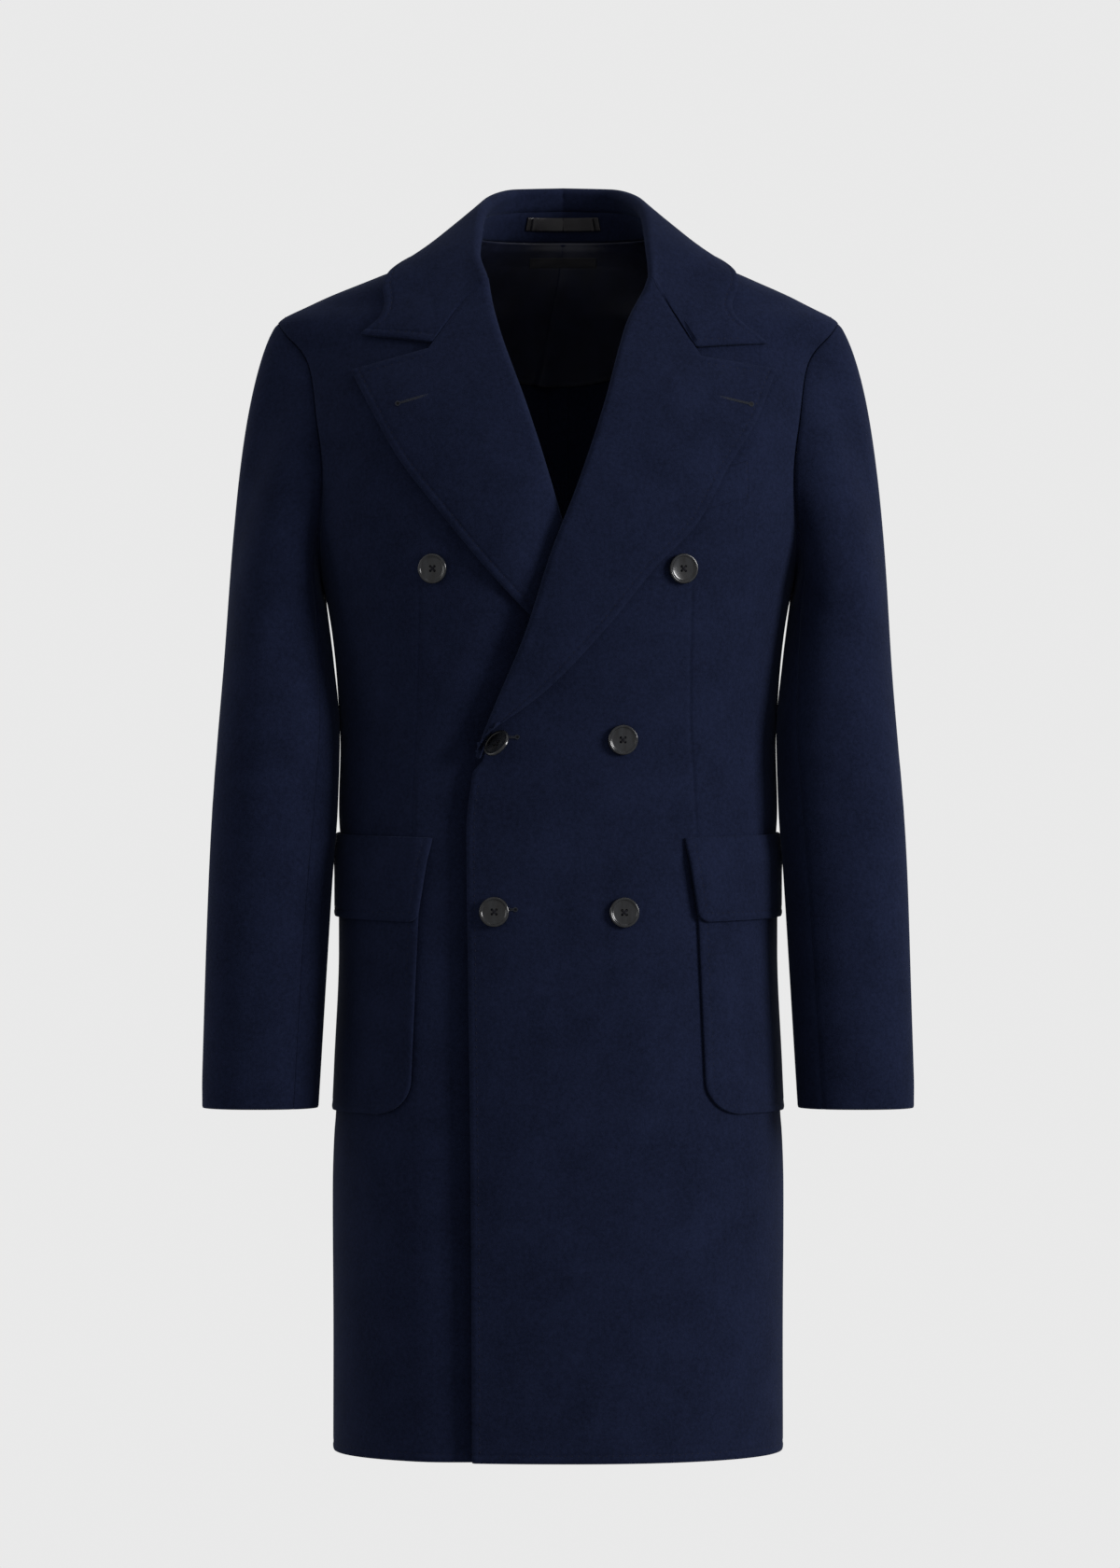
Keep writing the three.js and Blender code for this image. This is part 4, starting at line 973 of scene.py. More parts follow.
# %% The collar's lines
COLLAR_FOLD = [
    (0.21, 69, -44, 1002), (0.42, 66.5, -13, 1031), (0.5, 64, 3, 1042),
    (0.65, 54, 34, 1055), (0.8, 37, 62, 1062.5), (1, 0, 76, 1065),
]
COLLAR_EDGE = [
    (0.1, 67.6, 945), (0.21, 71, 963), (0.32, 77.5, 982.5), (0.42, 84.5, 993), (0.5, 92, 997),
    (0.65, 115, 999.5), (0.8, 139, 1001.5), (1, 180, 1003),
]
COLLAR_LIFT, COLLAR_ARCH, FOLD_RADIUS = TURNED_CLOTH + 0.8, 1.0, 5.6
GORGE_SHARE, NOTCH_LIFT = 0.854, 6.2
STAND_LEAST, STAND_SET_IN, STAND_CLOTH, FRONT_NECK_SHARE = 0.2, 4.2, 3.0, 0.42


def collar_lines(side):
    top = on_front(side, FRONT_EDGE[side](GORGE_TOP), np.array(GORGE_TOP), 2.6)
    folds = [(0, *top)] + COLLAR_FOLD
    tip = NOTCH[side][2]
    tip_angle = math.degrees(float(front_angle(tip[0], tip[1])))
    edges = [(0, tip_angle, tip[1])] + COLLAR_EDGE
    return curves(folds), curves(edges)


COLLAR_LINES = {side: collar_lines(side) for side in SIGN}


def fold_point(side, along):
    return vector(*(line(along) for line in COLLAR_LINES[side][0]))


def collar_edge_point(side, along):
    angle, height = (line(along) for line in COLLAR_LINES[side][1])
    return torso_point(np.radians(angle), height, np.full(np.shape(along), COLLAR_LIFT))


def neckline_foot(side, along):
    """Where the foot of the stand meets the neckline."""
    rising = mix(GORGE_TOP + 3, NECKLINE, along / FRONT_NECK_SHARE)
    height = np.where(along < FRONT_NECK_SHARE, rising, NECKLINE)
    front = front_angle(panel_edge(side, height) - STAND_SET_IN, height)
    start = front_angle(panel_edge(side, NECKLINE) - STAND_SET_IN, NECKLINE)
    back = mix(start, CENTRE_BACK, (along - FRONT_NECK_SHARE) / (1 - FRONT_NECK_SHARE))
    foot = torso_skin(np.where(along < FRONT_NECK_SHARE, front, back), height)
    inwards = unit(foot * np.array([1, 1, 0]))
    return foot - 1.5 * inwards + np.array([0, 0, 0.6])


print("fold at the centre back, mm:", np.round(fold_point("left", np.array(1.0)), 1))

# %% The collar's surface
def collar_form(side, column, along):
    """Columns -2 to -1 are the stand, -1 to 0 the turn of the fold and 0 to 1 the fall."""
    fold, edge = fold_point(side, along), collar_edge_point(side, along)
    tangent = fold_point(side, np.minimum(1, along + 0.01)) - fold_point(side, np.maximum(0, along - 0.01))
    tangent = np.where((along > 0.999)[..., None], np.array([-1.0, 0, 0]), tangent)
    out = unit(edge - fold)
    away = fold * np.array([1, 1, 0]) + np.array([0, 0, 40])
    face = turned_to(unit(np.cross(tangent, out)), away)
    centre = fold + out * FOLD_RADIUS
    turn = ((np.clip(column, -1, 0) + 1) * np.pi)[..., None]
    turned = centre - FOLD_RADIUS * (out * np.sin(turn) + face * np.cos(turn))
    head = centre - face * FOLD_RADIUS
    rise = STAND_LEAST + (1 - STAND_LEAST) * smooth(0.25, 0.5, along)
    stand = mix(head, neckline_foot(side, along), (-(column + 1) * rise)[..., None])
    share = np.clip(column, 0, 1)[..., None]
    fall = mix(centre + face * FOLD_RADIUS, edge, share) + face * (COLLAR_ARCH * np.sin(np.pi * share))
    return np.where((column > 0)[..., None], fall, np.where((column < -1)[..., None], stand, turned))


def collar_end(side, column):
    """The seam to the lapel, then the free edge from the notch to the tip."""
    notch, corner, tip = NOTCH[side]
    sewn = np.clip(column, -1, NOTCH_SHARE)
    seam = lapel_point(side, np.where(sewn > 0, sewn * GORGE_SHARE, sewn), np.ones(column.shape))
    roll = (float(FRONT_EDGE[side](GORGE_TOP)), GORGE_TOP)
    run = math.hypot(notch[0] - roll[0], notch[1] - roll[1])
    apart = np.where(column > 0, SEAM_GAP + 0.25, SEAM_GAP + 0.4)
    seam[..., 0] += apart * (roll[1] - notch[1]) / run
    seam[..., 2] += apart * (notch[0] - roll[0]) / run
    seam[..., 1] += 0.4 * smooth(0, NOTCH_SHARE, column)
    t = np.clip((column - NOTCH_SHARE) / (1 - NOTCH_SHARE), 0, 1)
    lift = mix(NOTCH_LIFT, COLLAR_LIFT, t)
    free = on_front(side, mix(corner[0], tip[0], t), mix(corner[1], tip[1], t), lift)
    return np.where((column <= NOTCH_SHARE)[..., None], seam, free)


def collar_point(side, column, along):
    points = collar_form(side, column, along)
    capped = np.maximum(-1, column)
    near = (1 - smooth(0, 0.3, along))[..., None]
    points = points + near * (collar_end(side, capped) - collar_form(side, capped, np.zeros(column.shape)))
    floor = torso_level(points[..., 0], points[..., 1]) + COLLAR_LIFT * 1.08
    share = np.clip(0.5 + 0.5 * (points[..., 2] - floor) / 2.5, 0, 1)
    lifted = mix(floor, points[..., 2], share) + 2.5 * share * (1 - share)
    weight = np.where(column > 0, smooth(0, 0.2, along) * smooth(0, 0.15, column), 0)
    points[..., 2] = mix(points[..., 2], lifted, weight)
    return points


def whole_collar(column, place):
    """Places run from -1 at the right front through 0 at the centre back to 1 at the left front."""
    along = np.minimum(1, 1 - np.abs(place))
    left, right = (collar_point(side, column, along) for side in ("left", "right"))
    right = right * np.array([-1, 1, 1])
    return np.where((place >= 0)[..., None], left, right)


collar_top = whole_collar(np.array([-0.5]), np.array([0.0]))
print("top of the collar at the centre back, mm:", np.round(collar_top, 1))

# %% Make the collar and its stand
def side_places(reach):
    near = np.concatenate([np.linspace(0, 0.94, 76), np.linspace(0.94, 1, 22), [0.9985]])
    near = near[near <= reach]
    return joined(-near, near)


def make_collar():
    columns = joined(
        np.linspace(-1.325, -1, 5), np.linspace(-1, 0, 20), np.linspace(0, 0.8, 34), np.linspace(0.8, 1, 20),
        [NOTCH_SHARE, 0.996],
    )
    column, place = np.meshgrid(columns, side_places(1.0))
    points = whole_collar(column, place)
    distance = edge_distances(points)
    free_end = smooth(NOTCH_SHARE - 0.05, NOTCH_SHARE + 0.03, column)
    shown = column > 0
    relief = np.where(shown, stitched(distance["right"]), 0)
    for end in ("low", "top"):
        end_relief = mix(0.7 * seamed(distance[end]), stitched(distance[end]), free_end)
        relief += np.where(shown, end_relief, 0)
    relief += np.where(column < -1, seamed(distance["left"]), 0)
    outward = np.where((column > 0.3)[..., None], points - vector(0.0, 0.0, points[..., 2]), 0)
    outer, inner = dressed("left", points, outward, TURNED_CLOTH, relief, np.minimum(relief, 0) * 0.3)
    piece = shell("cloth_collar", outer, inner, WOOL, 0.6)
    normals = grid_normals(outer, outward)
    pick_edge(outer, normals, "right", (0.07, 0.93))
    start = np.searchsorted(columns, NOTCH_SHARE + 0.06) / len(columns)
    for end in ("low", "top"):
        pick_edge(outer, normals, end, (start, 0.80))
    return piece


def make_stand():
    column, place = np.meshgrid(np.linspace(-2, -1.345, 14), side_places(0.46))
    points = whole_collar(column, place)
    distance = edge_distances(points)
    relief = seamed(distance["right"]) + 0.6 * seamed(distance["left"])
    outward = vector(0.0, 0.0, points[..., 2]) - points
    return wool_piece("cloth_stand", SEAM_BULGE, "left", points, outward, STAND_CLOTH, relief)


collar = make_collar()
stand = make_stand()
place_sheet(collar, "collar")
place_sheet(stand, "collar_stand")
print("collar faces:", len(collar.data.polygons), "stand faces:", len(stand.data.polygons))

# %% [markdown]
# ## Pockets, flaps and welt
# Patch pockets are cut with round lower corners, and their edges are picked like the lapels. A flap
# covers the mouth of each. The distance to a rounded outline is easy to write down: it is the
# distance to the nearest side, or to the corner's circle inside a corner.

# %% The outline of a laid piece
LAID_GAP, FLAP_CLOTH, FLAP_RISE = 0.8, 3.0, 4.0
POCKET = {"top": 488, "bottom": 285, "inner": (122, 113), "back": 94.5, "corner": 28, "back_corner": 20}
FLAP = {"top": 513, "bottom": 444, "inner": (114, 104), "back": 95.6, "corner": 8, "back_corner": 8}


def corner_inset(radius, above):
    return np.where(above >= radius, 0, radius - np.sqrt(np.maximum(0, radius**2 - (radius - above) ** 2)))


def laid_angle(form, u, level, inset=0.0):
    """The angle of a point u of the way across, at a level, inside the outline by an inset."""
    above = level - form["bottom"] - inset
    rise = (level - form["bottom"]) / (form["top"] - form["bottom"])
    inner = mix(*form["inner"], rise) + inset + corner_inset(form["corner"] - inset, above)
    far_inset = inset + corner_inset(form["back_corner"] - inset, above)
    outer = math.radians(form["back"]) - far_inset / half_width(level)
    return mix(front_angle(inner, level), outer, u)


def outline_distance(form, angle, level):
    """Distance from points to the sides and the rounded low edge of a laid piece."""
    rise = (level - form["bottom"]) / (form["top"] - form["bottom"])
    start = front_angle(mix(*form["inner"], rise), level)
    radius = torso_radius(angle, level)
    inner, outer = (angle - start) * radius, (math.radians(form["back"]) - angle) * radius
    low = level - form["bottom"]
    nearest = np.minimum(np.minimum(inner, outer), low)
    for across, corner in ((inner, form["corner"]), (outer, form["back_corner"])):
        in_corner = (across < corner) & (low < corner)
        nearest = np.where(in_corner, corner - np.hypot(corner - across, corner - low), nearest)
    return np.maximum(nearest, 0)


def laid_grid(side, angle, height, out):
    """Points and normals of a grid that lies this far over the front."""
    across = torso_skin(angle, height)[..., 0]
    lift = np.where(angle < SHOULDER_SEAM, front_lift(side, across, height), 0)
    return torso_point(angle, height, out + lift), torso_normal(angle, height)


print("rounding at a pocket's corner, mm:", float(corner_inset(POCKET["corner"], 0.0)))

# %% Make the pockets and flaps
def stitch_outline(side, form, out, rise, top):
    """Pick stitches along the sides and the low edge of a laid piece."""
    low = form["bottom"] + STITCH_INSET
    corner = form["corner"] - STITCH_INSET
    bend = max(corner, 0.1) * (1 - np.cos(np.linspace(0, np.pi / 2, 14)))
    levels = low + np.concatenate([bend, np.linspace(corner + 1, top - low, 60)])
    down = np.stack([laid_angle(form, 0.0, levels, STITCH_INSET), levels], -1)[::-1]
    up = np.stack([laid_angle(form, 1.0, levels, STITCH_INSET), levels], -1)
    u = np.linspace(0, 1, 60)[1:-1]
    across = np.stack([mix(down[-1, 0], up[0, 0], u), np.full(u.shape, low)], -1)
    route = np.concatenate([down, across, up])
    share = (route[:, 0] - route[:, 0].min()) / np.ptp(route[:, 0])
    points, normals = laid_grid(side, route[:, 0], route[:, 1] + rise * share, out(route[:, 1]) - 0.4)
    stitch_lines.append((points * FLIP[side], normals * FLIP[side]))


def make_laid(side, name, form, out, thickness, rise=0.0):
    near, far = np.linspace(0, 1, 18) ** 2 * 0.16, np.linspace(0.97, 1, 6)[1:]
    shares = np.concatenate([near, np.linspace(0.16, 0.97, 40)[1:], far])
    levels = mix(form["bottom"] + 0.02, form["top"], shares)
    u, level = np.meshgrid(close_ends(np.linspace(0, 1, 56), 0.009, 12), levels)
    angle = laid_angle(form, u, level)
    points, outward = laid_grid(side, angle, level + rise * u, out(level))
    relief = stitched(outline_distance(form, angle, level))
    relief += seamed(edge_distances(points)["top"]) * 0.8 + waves(points, 0.25)
    return wool_piece(name, 0.5, side, points, outward, thickness, relief, 0.0)


def pocket_out(level):
    return np.full(np.shape(level), LAID_GAP + CLOTH)


def flap_out(level):
    over_pocket = 1 - smooth(491, 513, level)
    return LAID_GAP + FLAP_CLOTH + over_pocket * (CLOTH + LAID_GAP)


for side in SIGN:
    pocket = make_laid(side, f"cloth_pocket_{side}", POCKET, pocket_out, CLOTH)
    place_sheet(pocket, f"patch_pocket_{side}")
    stitch_outline(side, POCKET, pocket_out, 0.0, 440)
    flap = make_laid(side, f"cloth_flap_{side}", FLAP, flap_out, FLAP_CLOTH, FLAP_RISE)
    place_sheet(flap, f"pocket_flap_{side}")
    stitch_outline(side, FLAP, flap_out, FLAP_RISE, 507)
print("stitch lines so far:", len(stitch_lines))

# %% The chest welt
WELT = {"start": 62, "end": 158, "low": (767, 795), "tall": 30}


def welt_place(u, v):
    across = mix(WELT["start"], WELT["end"], u)
    height = mix(*WELT["low"], u) + WELT["tall"] * v
    return front_angle(across, height), height


def make_welt():
    us = thicken(np.linspace(0, 1, 50), 1.0, 0.008, 6)
    u, v = np.meshgrid(us, close_ends(np.linspace(0, 1, 24), 0.02, 5))
    points, outward = laid_grid("left", *welt_place(u, v), np.full(u.shape, 2.4))
    distance = edge_distances(points)
    relief = seamed(distance["low"]) * 0.6 - 0.3 * (1 - smooth(0, 1.5, distance["top"]))
    relief -= 0.35 * hump(distance["right"], 3, 0.9)
    return wool_piece("cloth_welt", 0.35, "left", points, outward, 1.9, relief, 0.0)


welt = make_welt()
place_sheet(welt, "chest_welt")
end_line = welt_place(np.full(20, 0.972), np.linspace(0.06, 0.95, 20))
stitch_lines.append(laid_grid("left", *end_line, np.full(20, 2.1)))
print("welt faces:", len(welt.data.polygons))

# %% [markdown]
# ## Lining, loop and label
# Only the upper back is lined. The lining has a pleat at its centre so that the wool can stretch over
# the shoulders: it is sewn shut at the top and opens into a soft ridge below. A ribbon loop is
# tacked on the stand, and the label is plain tape.

# %% The half lining
LINING_TOP, LINING_SEWN, BAND_HEIGHT = 1019.5, 1015, 1001
LINING_HALF = 95  # mm from the centre to the side of the lining
LINING_INSET = CLOTH + 0.8


def lining_place(u, v):
    low = 900 + 85 * np.abs(u) ** 2.2
    return CENTRE_BACK - u * math.radians(66), mix(low, LINING_TOP, v)


def make_lining():
    us = thicken(np.linspace(-1, 1, 120), -0.03, 0.004, 9)
    u, v = np.meshgrid(us, np.linspace(0, 1, 70))
    angle, height = lining_place(u, v)
    drop = np.maximum(0, LINING_SEWN - height) / 115
    pleat_line = -0.02 - 0.11 * drop**1.6
    beside = (u - pleat_line) * LINING_HALF
    pleat = 2.6 * drop**0.8 * hump(np.maximum(beside, 0), 0, 9) * smooth(-1.0, 0.4, beside)
    folds = 0.5 * drop * np.sin(u * 17 + 2 * drop) + 0.35 * drop * np.sin(u * 31 - 3 * drop)
    band = -0.35 * hump(height, BAND_HEIGHT, 0.9)
    centre = -0.3 * hump(u * LINING_HALF, 0, 1.0) * smooth(BAND_HEIGHT, BAND_HEIGHT + 2, height)
    rise = pleat + folds + 0.5 + band + centre
    hem = -0.3 * hump(edge_distances(torso_skin(angle, height))["low"], 3, 0.8)
    against_wool = torso_point(angle, height, mix(-LINING_INSET, -1.9, smooth(1013, 1019, height)))
    inwards = -torso_normal(angle, height)
    seen = against_wool + inwards * (1.0 + np.maximum(rise + hem, -0.6))[..., None]
    return shell("satin_lining", seen, against_wool, LINING, 0.1)


lining = make_lining()
place_sheet(lining, "back_lining")
print("lining faces:", len(lining.data.polygons))

# %% The hanger loop and the label
NECK_ARC = 210.0


def on_stand(across, height):
    place = across / NECK_ARC
    foot = whole_collar(np.full(place.shape, -2.0), place)
    head = whole_collar(np.full(place.shape, -1.0), place)
    column = -2 + (height - foot[..., 2]) / (head[..., 2] - foot[..., 2])
    here = whole_collar(column, place)
    around = whole_collar(column, place + 0.004) - whole_collar(column, place - 0.004)
    up = whole_collar(column + 0.01, place) - whole_collar(column - 0.01, place)
    return here, turned_to(unit(np.cross(around, up)), vector(0.0, 0.0, here[..., 2]) - here)


def make_tape(name, place, length, tall, height, gap, thickness, bow, material):
    """A short tape on a surface, bowed out between its sewn ends."""
    u, v = np.meshgrid(np.linspace(-1, 1, 90), np.linspace(-1, 1, 16))
    here, normal = place(u * length / 2, height + v * tall / 2)
    arch = bow * (1 - u**2) ** 0.7 * (1 - 0.25 * v**2)
    crush = -0.25 * bow * hump(np.abs(u), 0.84, 0.03)
    back = here + normal * (gap + arch * 0.8 + crush)[..., None]
    face = back + normal * thickness
    return shell(name, face, back, material, 0.2)


loop = make_tape("ribbon_loop", on_stand, 59, 11, 1034, 0.35, 1.1, 0.9, RIBBON)
place_sheet(loop, "hanger_loop")


def on_lining(across, height):
    angle = CENTRE_BACK - across / back_depth(height)
    return torso_point(angle, height, -(LINING_INSET + 1.6)), -torso_normal(angle, height)


label = make_tape("bare_label", on_lining, 57, 8, 1004, 0.2, 0.6, 0.0, LABEL)
place_sheet(label, "neck_label")
print("loop and label faces:", len(loop.data.polygons), len(label.data.polygons))

# %% [markdown]
# ## Stitches with Geometry Nodes
# Hundreds of pick stitches follow the edges, and silk stitches ring each buttonhole. One tree makes
# them all: it turns a line of mesh edges into a curve, puts points on it at an even pitch, and
# sets a small rounded stitch on each point, lying along the line and facing out of the cloth.

# %% The stitch tree
BEAD_SEGMENTS, BEAD_RINGS = 8, 6
BEAD_FACES = BEAD_SEGMENTS * BEAD_RINGS
STITCH_INPUTS = {
    "Geometry": "Geometry", "Pitch": "Float", "Stitch size": "Vector",
    "Unevenness": "Float", "Thread": "Material",
}


def empty_tree(name, wanted):
    """A geometry tree with these inputs, and a geometry as its output."""
    tree = bpy.data.node_groups.new(name, "GeometryNodeTree")
    for socket, kind in wanted.items():
        tree.interface.new_socket(socket, in_out="INPUT", socket_type="NodeSocket" + kind)
    tree.interface.new_socket("Geometry", in_out="OUTPUT", socket_type="NodeSocketGeometry")
    return tree


def stitch_tree():
    """A bead on each evenly spaced point of a line, turned along it and facing out of the cloth."""
    tree = empty_tree("stitch_along_line", STITCH_INPUTS)
    given, made = node(tree, "NodeGroupInput"), node(tree, "NodeGroupOutput")
    line = node(tree, "GeometryNodeMeshToCurve")
    spaced = node(tree, "GeometryNodeResampleCurve", mode="LENGTH")
    facing = node(tree, "GeometryNodeInputNamedAttribute", {"Name": "facing"}, data_type="FLOAT_VECTOR")
    tangent = node(tree, "GeometryNodeInputTangent")
    turned = node(tree, "FunctionNodeAxesToRotation", primary_axis="X", secondary_axis="Z")
    bead_sizes = {"Segments": BEAD_SEGMENTS, "Rings": BEAD_RINGS, "Radius": 0.5}
    bead = node(tree, "GeometryNodeMeshUVSphere", bead_sizes)
    chance = node(tree, "FunctionNodeRandomValue", {"Seed": 7}, data_type="FLOAT")
    least = node(tree, "ShaderNodeMath", {0: 1.0}, operation="SUBTRACT")
    size = node(tree, "ShaderNodeVectorMath", operation="SCALE")
    placed = node(tree, "GeometryNodeInstanceOnPoints")
    real = node(tree, "GeometryNodeRealizeInstances")
    finish = node(tree, "GeometryNodeSetMaterial")
    for wire in (
        (given, "Geometry", line, "Mesh"), (line, "Curve", spaced, "Curve"),
        (given, "Pitch", spaced, "Length"), (spaced, "Curve", placed, "Points"),
        (bead, "Mesh", placed, "Instance"), (tangent, "Tangent", turned, "Primary Axis"),
        (facing, "Attribute", turned, "Secondary Axis"), (turned, "Rotation", placed, "Rotation"),
        (given, "Unevenness", least, 1), (least, 0, chance, 2), (given, "Stitch size", size, 0),
        (chance, 1, size, "Scale"), (size, 0, placed, "Scale"),
        (placed, "Instances", real, "Geometry"), (real, "Geometry", finish, "Geometry"),
        (given, "Thread", finish, "Material"), (finish, "Geometry", made, "Geometry"),
    ):
        link(tree, *wire)
    return tree


STITCHES = stitch_tree()
print("stitch inputs:", [s.name for s in STITCHES.interface.items_tree if s.in_out == "INPUT"])

# %% Run the tree along the edges
def stitched_object(name, lines, pitch, size, unevenness, thread, closed=False):
    """Run the tree on lines of (points, facings) and keep the result as a plain mesh."""
    points = np.concatenate([line[0] for line in lines])
    facing = np.concatenate([line[1] for line in lines])
    edges, start = [], 0
    for line, _ in lines:
        edges += [(start + k, start + k + 1) for k in range(len(line) - 1)]
        if closed:
            edges.append((start + len(line) - 1, start))
        start += len(line)
    mesh = bpy.data.meshes.new(name + "_line")
    mesh.from_pydata(to_metres(points).tolist(), edges, [])
    attribute = mesh.attributes.new("facing", "FLOAT_VECTOR", "POINT")
    attribute.data.foreach_set("vector", facing.astype(np.float32).ravel())
    guide = add_object(name + "_line", mesh)
    modifier = guide.modifiers.new("stitches", "NODES")
    modifier.node_group = STITCHES
    values = {
        "Pitch": pitch / 1000, "Stitch size": [s / 1000 for s in size],
        "Unevenness": unevenness, "Thread": thread,
    }
    for socket in STITCHES.interface.items_tree:
        if socket.in_out == "INPUT" and socket.name in values:
            modifier[socket.identifier] = values[socket.name]
    guide.update_tag()
    evaluated = guide.evaluated_get(bpy.context.evaluated_depsgraph_get())
    made = add_object(name, bpy.data.meshes.new_from_object(evaluated))
    made.data.shade_smooth()
    bpy.data.objects.remove(guide)
    ride_coat(made)
    return made


pick = stitched_object("pick_stitches", stitch_lines, 5.6, (2.3, 0.75, 0.55), 0.15, STITCH)
print("pick stitches:", len(pick.data.polygons) // BEAD_FACES, "in", len(stitch_lines), "lines")

# %% [markdown]
# ## Buttonholes
# A buttonhole on a coat is a slit with a round eyelet at the end that the button pulls against,
# worked all round in silk. Each one is drawn flat first, as a loop of points, and then laid
# on the cloth that carries it, so it bends with the lapel or the front.

# %% Draw a hole flat and lay it on the cloth
def hole_loop(length, width, eyelet):
    """A slit's outline with an eyelet at its far end, as (along, up) in mm."""
    slit = length - 2 * eyelet
    low = [(x, -width / 2) for x in np.linspace(0, slit, 24)]
    turn = np.linspace(-math.pi * 0.72, math.pi * 0.72, 22)
    ring = [(slit + eyelet + eyelet * math.cos(t), eyelet * math.sin(t)) for t in turn]
    high = [(x, width / 2) for x in np.linspace(slit, 0, 24)]
    tack = [(-0.35, 0.35), (-0.35, -0.35)]
    return np.array(low + ring + high + tack)


def lay_loop(loop, start, direction, surface):
    """Carry a flat loop to the surface that gives a point for (across, height)."""
    along = np.array(direction) / math.hypot(*direction)
    up = np.array([-along[1], along[0]])
    flat = np.array(start) + loop[:, :1] * along + loop[:, 1:] * up
    return surface(flat[:, 0], flat[:, 1])


def lapel_surface(side):
    """The lapel's outer face as a function of its place in the front view."""
    columns, alongs = np.meshgrid(np.linspace(0.02, 1, 90), np.linspace(0.5, 1, 90))
    across, up, lift = (a.ravel() for a in lapel_place(side, columns, alongs))

    def surface(x, z):
        nearest = np.argmin((x[:, None] - across) ** 2 + (z[:, None] - up) ** 2, axis=1)
        return place_on_front(side, x, z, lift[nearest].mean() + 0.1)

    return surface


def place_on_front(side, x, z, out):
    points = on_front(side, x, z, np.full(x.shape, out))
    sideways = on_front(side, x + 4, z, 0.0) - on_front(side, x - 4, z, 0.0)
    up = on_front(side, x, z + 4, 0.0) - on_front(side, x, z - 4, 0.0)
    return points * FLIP[side], unit(np.cross(sideways, up)) * FLIP[side]


def front_surface(x, z):
    return place_on_front("left", x, z, 0.15)


lapel_hole, front_hole = hole_loop(27, 1.0, 1.7), hole_loop(30, 1.1, 1.6)
print("points round a buttonhole:", len(lapel_hole))

# %% Ring the holes with silk and paint shade into their cuts
def painted_slit_shade(name, loops):
    """A near-black sheet of painted shade inside each ring of stitches, for the dark of the cut."""
    points, faces, start = [], [], 0
    for line, facing in loops:
        count = len(line)
        points += [line + facing * 0.12, line - facing * 0.25]
        top, low = start + np.arange(count), start + count + np.arange(count)
        half = count // 2
        for k in range(half - 1):
            a, b = k, count - 1 - k
            faces.append([top[a], top[a + 1], top[b - 1], top[b]])
            faces.append([low[b], low[b - 1], low[a + 1], low[a]])
        for k in range(count):
            m = (k + 1) % count
            faces.append([top[m], top[k], low[k], low[m]])
        start += 2 * count
    made = mesh_object(name, np.concatenate(points), faces, SLIT_SHADE)
    made.data.shade_flat()
    ride_coat(made)
    return made


loops = [
    lay_loop(lapel_hole, (132.5, 875.5), (31, -6.5), lapel_surface("left")),
    lay_loop(lapel_hole, (106, 876.5), (31, -8.5), lapel_surface("right")),
    lay_loop(front_hole, (-62, 596.2), (1, 0), front_surface),
    lay_loop(front_hole, (-63.5, 454.5), (1, 0), front_surface),
]
ringed = stitched_object("buttonhole_silk_ring", loops, 0.62, (0.62, 1.5, 0.8), 0.2, SILK, closed=True)
# The cuts are a near-black sheet of painted shade lying on the cloth inside each ring.
slit_shades = painted_slit_shade("buttonhole_painted_shade", loops)
print("silk stitches:", len(ringed.data.polygons) // BEAD_FACES, "slit faces:", len(slit_shades.data.polygons))

# %% [markdown]
# ## Buttons
# Each button is turned like a small dish: a domed back, a raised rim and a sunken middle with four
# holes. It is spun from its half section with NumPy, the holes are cut by a boolean, and thread
# crosses the holes and winds into a short shank between the button and the cloth.

# %% Turn a button
BUTTON_SECTION = [  # radius, height: from the middle of the back round to the middle of the face
    (0, 0), (4, 0.02), (8.0, 0.1), (10.4, 0.75), (12.0, 1.7), (12.5, 2.7), (12.3, 3.6), (11.8, 4.1),
    (11.1, 4.2), (10.5, 3.95), (10.0, 3.4), (9.4, 3.1), (6, 2.75), (3, 2.6), (0, 2.55),
]
HOLE_CIRCLE, HOLE_RADIUS, SHARP_ANGLE = 2.6, 1.05, math.radians(38)


def button_mesh():
    """The blank: the half section spun round."""
    section = np.array(BUTTON_SECTION, float)
    fine = np.linspace(0, len(section) - 1, 43)
    radius, height = (np.interp(fine, np.arange(len(section)), section[:, k]) for k in (0, 1))
    radius[0] = radius[-1] = 0
    turns = 56
    angle = np.arange(turns) * 2 * math.pi / turns
    rings = np.stack([
        np.outer(radius[1:-1], np.cos(angle)), np.outer(radius[1:-1], np.sin(angle)),
        np.repeat(height[1:-1, None], turns, 1),
    ], -1).reshape(-1, 3)
    count = len(radius) - 2
    points = np.concatenate([[[0, 0, height[0]]], rings, [[0, 0, height[-1]]]])
    index = 1 + np.arange(count * turns).reshape(count, turns)
    faces = [[0, index[0, (k + 1) % turns], index[0, k]] for k in range(turns)]
    for j in range(count - 1):
        for k in range(turns):
            m = (k + 1) % turns
            faces.append([index[j, k], index[j, m], index[j + 1, m], index[j + 1, k]])
    last = len(points) - 1
    faces += [[last, index[-1, k], index[-1, (k + 1) % turns]] for k in range(turns)]
    mesh = bpy.data.meshes.new("button_blank")
    mesh.from_pydata(points.tolist(), [], faces)
    return mesh


